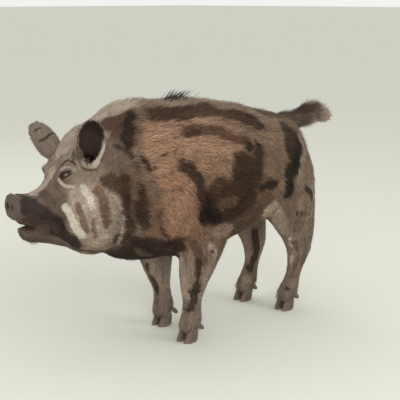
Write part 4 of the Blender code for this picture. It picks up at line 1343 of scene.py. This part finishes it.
# painted shade darkens each tuft towards its root, where the other tufts would shade it; the lighter tips are
# the hair's own
tuftShadeAndTips = np.array([0.74, 0.74, 0.80, 0.96, 0.96, 1.04, 1.20])     # darker at the root, lighter at the tip
mapPatch = 0.003                # how wide a tuft's patch is on the coat's map


def tuftPoints(tufts):
    # the middle line leaves the skin at the tuft's lift, bends over at the waist and lies flatter to its tip
    normal, lie = tufts["normal"], tufts["lie"]
    side = unit(np.cross(lie, normal))
    length, width = tufts["length"][:, None], tufts["width"][:, None]
    rise = np.sin(tufts["lift"])[:, None]
    root = tufts["root"] - normal * 0.0012 - lie * 0.0010
    aside = side * (tufts["bend"][:, None] * length)
    waist = root + (lie * 0.46 + normal * rise * 0.62) * length + aside * 0.35
    tip = root + (lie * 0.97 + normal * rise * tufts["flare"][:, None]) * length + aside
    half, thick = width * 0.5, width * 0.42
    points = np.empty((len(root), 7, 3))
    points[:, 0], points[:, 1] = root - side * half * 0.8, root + side * half * 0.8
    points[:, 2] = root + normal * thick * 0.8
    points[:, 3], points[:, 4] = waist - side * half, waist + side * half
    points[:, 5] = waist + normal * thick
    points[:, 6] = tip
    return points


def tuftMesh(name, tufts):
    points = tuftPoints(tufts)
    count = len(points)
    corners = (tuftFaces[None] + 7 * np.arange(count)[:, None]).ravel()
    mesh = newMesh(name, points.reshape(-1, 3), corners, np.tile(tuftSizes, count))
    colours = tufts["colour"][:, None] * tuftShadeAndTips[:, None]
    colours[:, 6] = tufts["tipColour"] * tuftShadeAndTips[6]
    setColour(mesh, colours.reshape(-1, 3))
    local = (np.stack([tuftAcross, tuftAlong], 1) - 0.5) * mapPatch
    uv = np.clip(tufts["map"][:, None] + local, 0.0001, 0.9999)[:, tuftFaces]
    mesh.uv_layers.new(name="OFBake").data.foreach_set("uv", uv.astype(np.float32).ravel())
    return mesh


coatValues = {
    "closeness": 0.94,          # of the spacing that the guides ask for
    "fineness": 0.88,           # and of the width
    "wander": 0.30,             # how far the lie strays in locks, as a slope
    "stray": 0.16,              # and from tuft to tuft
    "bend": 0.13,               # how far tips bend aside, as a share of the length
    "lengthSpread": 0.22,
    "shadeSpread": 0.14,
    "most": 19500,              # tufts in one piece
}


def rootedTufts():
    # roots are strewn over the hide's triangles as closely as the guides ask, fewer where it is bare
    corners = hidePoints[hideTriangles]
    one, two = corners[:, 1] - corners[:, 0], corners[:, 2] - corners[:, 0]
    area = np.linalg.norm(np.cross(one, two), axis=1) / 2
    spacing = hideMakes[hideTriangles, 4].mean(1) / 1000 * coatValues["closeness"]
    wanted = area * (1 - hideBare[hideTriangles].mean(1)) / spacing ** 2
    counts = np.floor(wanted + rng.random(len(wanted))).astype(int)
    triangle = np.repeat(np.arange(len(counts)), counts)
    first, second = rng.random(len(triangle)), rng.random(len(triangle))
    over = first + second > 1
    first[over], second[over] = 1 - first[over], 1 - second[over]
    shares = np.stack([1 - first - second, first, second], 1)[..., None]
    root = (hidePoints[hideTriangles[triangle]] * shares).sum(1)
    normal = unit((hideNormals[hideTriangles[triangle]] * shares).sum(1))
    parts = hideParts[hideTriangles[triangle, 0]]
    lie, make = coatAt(root)
    lock = drift(root, 0.024, 91) * coatValues["wander"]
    lie = squareTo(normal, lie + lock + rng.normal(0, coatValues["stray"], lie.shape))
    nearEye = ease(0.012, 0.034, eyeAway(root))
    length = make[:, 0] / 1000 * (1 + rng.normal(0, coatValues["lengthSpread"], len(root)).clip(-0.5, 0.6))
    length *= 0.42 + 0.58 * nearEye
    width = make[:, 1] / 1000 * coatValues["fineness"] * (0.8 + 0.4 * rng.random(len(root)))
    width *= 0.7 + 0.3 * nearEye
    shade = (1 + rng.normal(0, coatValues["shadeSpread"], (len(root), 1))).clip(0.55, 1.6)
    reach = lie * length[:, None]
    colour = hideColour(root + reach * 0.40, lie, parts) * shade
    tipColour = hideColour(root + reach * 0.85, lie, parts) * shade
    return {
        "root": root, "normal": normal, "lie": lie, "length": length, "width": width,
        "lift": np.radians(make[:, 2]) * (0.7 + 0.6 * rng.random(len(root))),
        "flare": 0.75 + 0.5 * rng.random(len(root)),
        "bend": rng.normal(0, coatValues["bend"], len(root)),
        "colour": colour, "tipColour": tipColour,
    }


def coatRegion(root):
    # which piece of coat a tuft belongs to
    forward = toHead(root)[:, 0]
    x, y, z = root.T
    region = np.full(len(root), "coat_trunk", object)
    region[x < -0.16] = "coat_shoulders"
    region[x > 0.12] = "coat_rump"
    region[forward > -0.11] = "coat_neck"
    region[forward > -0.02] = "coat_crown"
    region[forward > 0.07] = "coat_face"
    legs = (z < 0.29) & (np.abs(y) > 0.02) & (x > -0.26)
    region[legs & (x < 0.1)] = "coat_forelegs"
    region[legs & (x >= 0.18)] = "coat_hindlegs"
    region[(x > 0.43) & (z > 0.50)] = "coat_tail"
    sided = np.isin(region.astype(str), ("coat_trunk", "coat_shoulders", "coat_rump"))
    return np.where(sided, region + np.where(y < 0, "_left", "_right"), region).astype(str)


def chosen(tufts, which):
    return {key: value[which] for key, value in tufts.items()}


coat = rootedTufts()
coat["map"] = placeOnUnwrap(coat["root"])
regions = coatRegion(coat["root"])
for name in sorted(set(regions)):
    part = chosen(coat, regions == name)
    if len(part["root"]) > coatValues["most"]:
        print(name, "has", len(part["root"]), "tufts, thinned")
        part = chosen(part, np.sort(rng.permutation(len(part["root"]))[:coatValues["most"]]))
    addPiece(name, tuftMesh(name, part), bristleFinish, "bristly_hide")
    print(name, len(part["root"]), "tufts")


# the tail's brush, lashes and the few long bristles, made as tufts too

brushValues = {
    "core": ((0.520, 0.006, 0.640, 0.013), (0.560, 0.011, 0.644, 0.012), (0.600, 0.014, 0.642, 0.009),
             (0.640, 0.015, 0.634, 0.005)),     # x, y, z and radius of the tail's last joints
    "tufts": 5200,
    "length": (0.045, 0.078),
    "width": 0.0023,
    "spread": 0.46,             # how far the hair leans out from the tail
}


def moreTufts(root, normal, lie, length, width, lift, bend, tone, flare=1.0, part=0):
    # a bundle of tufts given row by row, coloured by one tone or by the hide's own colour
    count = len(root)
    lie = squareTo(normal, lie)
    if tone is None:
        colour = hideColour(root, lie, np.full(count, part))
    else:
        colour = np.broadcast_to(linear(*tone), (count, 3))
    colour = colour * (1 + rng.normal(0, 0.15, (count, 1))).clip(0.6, 1.5)
    tufts = {"root": root, "normal": normal, "lie": lie, "bend": bend, "colour": colour, "tipColour": colour}
    for key, value in (("length", length), ("width", width), ("lift", lift), ("flare", flare)):
        tufts[key] = np.broadcast_to(value, count)
    return tufts


def together(bundles):
    return {key: np.concatenate([bundle[key] for bundle in bundles]) for key in bundles[0]}


def tailBrush():
    # roots wind round the tail's last joints; the hair runs back along them and out to all sides
    v = brushValues
    core = curved(v["core"], 6)
    at = rng.random(v["tufts"]) ** 0.8 * (len(core) - 1.001)
    low = at.astype(int)
    share = (at - low)[:, None]
    middle = core[low] * (1 - share) + core[low + 1] * share
    axis = unit(core[low + 1, :3] - core[low, :3])
    turn = rng.random(v["tufts"]) * 2 * math.pi
    across = unit(np.cross(axis, (0, 0, 1.0)))
    upward = np.cross(across, axis)
    normal = unit(across * np.cos(turn)[:, None] * 0.8 + upward * np.sin(turn)[:, None])
    root = middle[:, :3] + normal * middle[:, 3:] * 0.9
    length = v["length"][0] + (v["length"][1] - v["length"][0]) * rng.random(v["tufts"])
    length *= 1.05 - 0.45 * (at / len(core))
    lean = v["spread"] * (0.35 + 0.9 * rng.random(v["tufts"]))
    # towards the tail's end some hair stands straight back and closes the brush
    ends = ease(0.70, 0.95, at / len(core)) * (rng.random(v["tufts"]) < 0.6)
    root = root - normal * (middle[:, 3:] * 0.8 * ends[:, None])
    lean = lean * (1 - ends) - 0.04 * ends
    return moreTufts(root, normal, axis + rng.normal(0, 0.12, axis.shape), length,
                     v["width"] * (0.7 + 0.6 * rng.random(v["tufts"])), lean,
                     rng.normal(0, 0.10, v["tufts"]), None, 0.9)


lashValues = {
    "upper": (26, 0.0085),      # how many on each lid, and how long
    "lower": (12, 0.0040),
    "width": 0.0006,
    "tone": (38, 28, 23),
}


def lashes():
    # a row along each upper lid, longest in its middle, and a sparse short row below
    bundles = []
    for side in sideSign:
        outward, along, across = eyeFrames[side]
        for upper in (True, False):
            count, long = lashValues["upper" if upper else "lower"]
            turn = np.linspace(0.12, 0.92, count) * math.pi * (1 if upper else -1)
            column = np.round(turn / (2 * math.pi) * eyeValues["columns"]).astype(int) % eyeValues["columns"]
            root = eyelids[side][3, column] + rng.normal(0, 0.0003, (count, 3))
            normal = np.broadcast_to(unit(outward + across * (0.25 if upper else -0.4)), (count, 3))
            away = across * (0.55 if upper else -0.8) + along * np.cos(turn)[:, None] * 0.6
            length = long * (0.6 + 0.5 * np.abs(np.sin(turn))) * (0.85 + 0.3 * rng.random(count))
            bundles.append(moreTufts(root, normal, away, length, lashValues["width"], 0.75,
                                     rng.normal(0, 0.10, count), lashValues["tone"], 1.1))
    return together(bundles)


fringeValues = {
    # angle as a share of the cup's half angle, lowest and highest share of the ear, how many, how long
    "rows": ((-0.97, 0.06, 0.97, 260, 0.013), (0.97, 0.06, 0.97, 260, 0.013),
             (-0.80, 0.05, 0.45, 90, 0.018), (0.80, 0.05, 0.45, 90, 0.018)),
    "width": 0.0011,
    "stiff": (4, 0.036, 0.0020),        # the few stiff ones: how many, how long and how wide
    "stiffTone": (30, 24, 20),
}


def earFringe():
    # longer hair leans out past both edges of each ear, and some crosses the hollow's foot
    bundles = []
    for side in sideSign:
        root, along, back, across = earFrame(side)
        for edge, first, last, count, long in fringeValues["rows"]:
            share = first + (last - first) * rng.random(count)
            turned = edge * (1 - 0.08 * rng.random(count))
            spot = earPoints(side, share, turned, np.zeros(count))
            past = unit(spot - earPoints(side, share, turned * 0.9, np.zeros(count)))
            lie = along + past * (0.45 if abs(edge) > 0.9 else 0.9) + rng.normal(0, 0.12, (count, 3))
            normal = np.broadcast_to(-back, (count, 3))
            bundles.append(moreTufts(spot, normal, lie, long * (0.6 + 0.6 * rng.random(count)),
                                     fringeValues["width"], 0.20, rng.normal(0, 0.12, count), None, 0.9, 2))
    # a few stiff bristles stand out from the left ear's front edge
    count, long, wide = fringeValues["stiff"]
    spot = earPoints("left", np.linspace(0.66, 0.82, count), np.full(count, 0.97), np.zeros(count))
    lie = np.array((0.75, 0.15, 0.55)) @ headFrame + rng.normal(0, 0.12, (count, 3))
    normal = np.broadcast_to(headFrame[2], (count, 3))
    bend = rng.normal(0, 0.10, count)
    bundles.append(moreTufts(spot, normal, lie, long, wide, 0.45, bend, fringeValues["stiffTone"]))
    return together(bundles)


# whether placed in the head's frame, where, how many, how long, how they lie, how far they lift, their tone
longBristles = {
    "brow": (True, (0.086, 0.060, 0.132), 8, 0.026, (-0.2, 0.5, 0.9), 0.55, (44, 33, 27)),
    "cheek wart": (True, (0.100, 0.100, 0.004), 3, 0.018, (-0.5, 0.6, -0.4), 0.4, (92, 74, 62)),
    "chin": (True, (0.200, 0.018, -0.090), 12, 0.022, (-0.6, 0.2, -0.8), 0.5, (70, 56, 47)),
    "upper lip": (True, (0.205, 0.044, -0.030), 12, 0.016, (-0.8, 0.3, -0.4), 0.45, (60, 48, 41)),
    "withers": (False, (-0.150, -0.020, 0.735), 90, 0.052, (0.9, 0.0, 0.1), 0.75, (46, 37, 31)),
}


def strayBristles():
    bundles = []
    for onHead, place, count, length, lie, lift, tone in longBristles.values():
        for sign in ((1, -1) if onHead else (1,)):
            at = fromHead(mirrored(place, sign)) if onHead else np.array(place)
            towards = mirrored(lie, sign) @ headFrame if onHead else np.array(lie)
            shift = rng.normal(0, 0.007 if onHead else 0.012, (count, 3)) * (1 if onHead else (1.8, 1, 1))
            found = [hideTree.find_nearest(Vector(spot)) for spot in at + shift]
            root, normal = (np.array([hit[k][:] for hit in found]) for k in (0, 1))
            bundles.append(moreTufts(root, normal, towards + rng.normal(0, 0.15, (count, 3)),
                                     length * (0.6 + 0.6 * rng.random(count)), 0.0010 + 0.02 * length, lift,
                                     rng.normal(0, 0.12, count), tone))
    return together(bundles)


for name, bundle in (("tail_brush", tailBrush()), ("lashes", lashes()), ("ear_fringe", earFringe()),
                     ("long_bristles", strayBristles())):
    bundle["map"] = placeOnUnwrap(bundle["root"])
    addPiece(name, tuftMesh(name, bundle), bristleFinish, "bristly_hide")
    print(name, len(bundle["root"]), "tufts")


# eyeballs: rings round the line of sight, with the cornea swelling over the iris

ballValues = {
    "gaze": (0.90, 0.34, -0.02),        # out of the head, towards the inner corner, up
    "size": 0.985,              # of the solid's radius
    "cornea": 0.055,            # how much further it stands out
    "corneaAngle": 0.48,
    "pupilStretch": 1.18,
}


def closedTube(rings, ends=None):
    # a closed surface through rings of points, with a fan over each end
    rows, columns = rings.shape[:2]
    ends = rings[[0, -1]].mean(1) if ends is None else ends
    flat = np.vstack([rings.reshape(-1, 3), ends])
    corners = gridFaces(rows, columns)
    first, last = np.arange(columns), np.arange(columns) + (rows - 1) * columns
    fans = np.concatenate([np.stack([np.roll(first, -1), first, np.full(columns, rows * columns)], 1),
                           np.stack([last, np.roll(last, -1), np.full(columns, rows * columns + 1)], 1)])
    # the whole is turned inside out if it encloses less than nothing
    triangles = np.concatenate([corners[:, [0, 1, 2]], corners[:, [0, 2, 3]], fans])
    a, b, c = (flat[triangles[:, k]] for k in range(3))
    if (a * np.cross(b, c)).sum() < 0:
        corners, fans = corners[:, ::-1], fans[:, ::-1]
    return flat, corners, fans


def eyeBall(side):
    # angle from the line of sight by angle round it; the radius swells by a bell over the cornea
    outward, along, across = eyeFrames[side]
    v = ballValues
    look = unit(outward * v["gaze"][0] + along * v["gaze"][1] + across * v["gaze"][2])
    sideways = unit(np.cross(look, across))
    upward = np.cross(sideways, look)
    angle, turn = np.linspace(0, math.pi, 40)[:, None], roundTurn(48)
    radius = eyeRadius * (v["size"] + v["cornea"] * bell(angle, 0, v["corneaAngle"]))
    ring = radius * np.sin(angle)
    points = (eyeMiddle[side] + look * (radius * np.cos(angle) + 0 * turn)[..., None]
              + sideways * (ring * np.cos(turn))[..., None] + upward * (ring * np.sin(turn))[..., None])
    ball = closedTube(points[1:-1], points[[0, -1], 0])
    mesh = joined(f"eyeball_{side}", [ball])
    # the pupil is a lying oval, so the angle is squeezed along the slit
    away = unit(ball[0] - eyeMiddle[side])
    down = np.hypot((away @ sideways) / v["pupilStretch"], away @ upward)
    setNumber(mesh, "fromPupil", np.where(away @ look > 0, down, 1.0))
    addPiece(f"eyeball_{side}", mesh, eyeFinish, "eye", f"eye_{side}")


for side in sideSign:
    eyeBall(side)


# claws: two main ones that stand on the floor and two dewclaws behind, on each foot

clawValues = {
    "rise": 0.046,
    "halfLength": 0.027,
    # height as a share of the rise, then length and width at it as shares
    "wall": ((0, 0.88, 0.86), (0.03, 0.95, 0.94), (0.12, 1.0, 1.0), (0.60, 0.84, 0.96), (1.0, 0.50, 0.66)),
    # share of the way down a dewclaw, and its radius in millimetres
    "dewProfile": ((0, 5.0), (0.35, 7.8), (0.65, 8.0), (0.87, 6.2), (0.96, 3.8), (1, 1.6)),
    "lean": 0.014,              # how far the wall leans back from the sole to the root
    "horn": (82, 67, 57),
    "wear": (128, 110, 94),     # the sole's edge
    "band": (98, 82, 71),       # the soft band at the root
}
claws = [f"{kind}_{end}_{side}_{place}" for kind in ("claw", "dewclaw") for end in ("fore", "hind")
         for side in sideSign for place in ("outer", "inner")]


def mainClaw(name):
    # height by angle round the wall: a pointed oval that narrows upwards, with low rings of growth
    low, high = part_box(name)
    halfWidth = (high.y - low.y) / 2
    out = 1 if (name.endswith("outer")) == ("_right_" in name) else -1
    middle = np.array([low.x + 0.0253, (low.y + high.y) / 2, 0])
    up = np.array([0, 0.02, 0.05, 0.10, 0.16, 0.23, 0.31, 0.40, 0.50, 0.60, 0.70, 0.80, 0.90, 1.0])[:, None]
    turn = roundTurn(44)
    levels, longShares, wideShares = zip(*clawValues["wall"])
    long = np.interp(up, levels, longShares) * clawValues["halfLength"]
    wide = np.interp(up, levels, wideShares) * halfWidth
    toe = np.maximum(0, np.cos(turn))
    grown = 1 + (0.010 * np.sin(up * 46 + 1.5 * np.sin(turn)) * ease(0.08, 0.2, up)
                 * (1 - ease(0.75, 0.9, up)))
    x = -long * np.cos(turn) * grown
    y = wide * np.sin(turn) * (1 - 0.34 * toe ** 2) * grown
    # the inner face of each claw is flatter than its outer one
    y = np.where(y * out < 0, y * 0.90, y) - 0.0014 * out * toe ** 3
    z = clawValues["rise"] * up + 0 * turn
    return np.stack([middle[0] + x + clawValues["lean"] * up, middle[1] + y, z], -1)


def dewClaw(name):
    # rings from a hidden root down to a blunt tip that hangs behind the foot
    low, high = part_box(name)
    middleY = (low.y + high.y) / 2
    start = np.array([low.x - 0.012, middleY, high.z - 0.004])
    tip = np.array([high.x - 0.0075, middleY, low.z + 0.0065])
    share = np.linspace(0, 1, 12)[:, None]
    turn = roundTurn(22)
    radius = np.interp(share, *zip(*clawValues["dewProfile"])) / 1000
    radius = radius * (1 + 0.02 * np.sin(share * 30))
    across, upward = np.array([0, 1.0, 0]), unit(np.array([0.8, 0, 0.6]))
    middle = start + (tip - start) * share
    return (middle[:, None] + across * (radius * np.cos(turn))[..., None] * 0.86
            + upward * (radius * np.sin(turn))[..., None])


clawMesh = joined("claws", [closedTube(mainClaw(name) if name.startswith("claw") else dewClaw(name))
                            for name in claws])
clawPoints = meshArrays(clawMesh)[0]
worn = ((1 - ease(0.0, 0.012, clawPoints[:, 2])) * (0.6 + 0.4 * grain(clawPoints, 0.008, 7)))[:, None]
rooted = ease(0.030, 0.044, clawPoints[:, 2])[:, None]
striped = 1 + 0.16 * grain(clawPoints * (1, 1, 0.12), 0.0035, 8)[:, None]
hornColours = linear(*clawValues["horn"]) * (1 - worn) + linear(*clawValues["wear"]) * worn
hornColours = (hornColours * (1 - rooted) + linear(*clawValues["band"]) * rooted) * striped
setColour(clawMesh, hornColours)
addPiece("claws", clawMesh, hornFinish, "claw_horn", *claws)
print("eyes and claws made")


# floor, light and camera

studio = {
    "floor": (215, 216, 206),
    "floorReach": 90,
    "sky": 0.90,
    "skyColour": (1.0, 0.99, 0.96, 1),
    # place, width and power of each light
    "key": ((-2.7, -3.2, 2.1), 2.2, 85),
    "fill": ((1.6, -3.6, 1.7), 2.4, 40),
    "back": ((0.8, 3.2, 2.8), 2.0, 16),
    "lightsAim": (0, 0, 0.35),
    "cameraAt": (-2.3335, -2.2562, 1.0477),
    "cameraAim": (-0.0786, -0.0707, 0.4323),
    "lens": 93.37,
}


def turnTo(place, aim):
    return (Vector(aim) - Vector(place)).to_track_quat("-Z", "Y").to_euler()


def areaLight(name, place, size, power):
    light = bpy.data.lights.new(name, "AREA")
    light.shape = "DISK"
    light.size = size
    light.energy = power
    lamp = newObject(name, light)
    lamp.location = place
    lamp.rotation_euler = turnTo(place, studio["lightsAim"])


def setStudio():
    far = studio["floorReach"]
    corners = [(-far, -far, 0), (far, -far, 0), (far, far, 0), (-far, far, 0)]
    mesh = newMesh("floor", corners, [0, 1, 2, 3], [4])
    material, tree, shader = newMaterial("floorPaper", 0.9, 0.1)
    shader.inputs["Base Color"].default_value = (*linear(*studio["floor"]), 1)
    mesh.materials.append(material)
    newObject("floor", mesh)
    world = bpy.data.worlds.new("studio")
    bpy.context.scene.world = world
    world.use_nodes = True
    sky = world.node_tree.nodes["Background"]
    sky.inputs["Color"].default_value = studio["skyColour"]
    sky.inputs["Strength"].default_value = studio["sky"]
    for name in ("key", "fill", "back"):
        areaLight(name, *studio[name])
    camera = newObject("camera", bpy.data.cameras.new("camera"))
    camera.data.lens = studio["lens"]
    camera.location = studio["cameraAt"]
    camera.rotation_euler = turnTo(studio["cameraAt"], studio["cameraAim"])
    bpy.context.scene.camera = camera
    bpy.context.scene.view_settings.view_transform = "Standard"


setStudio()
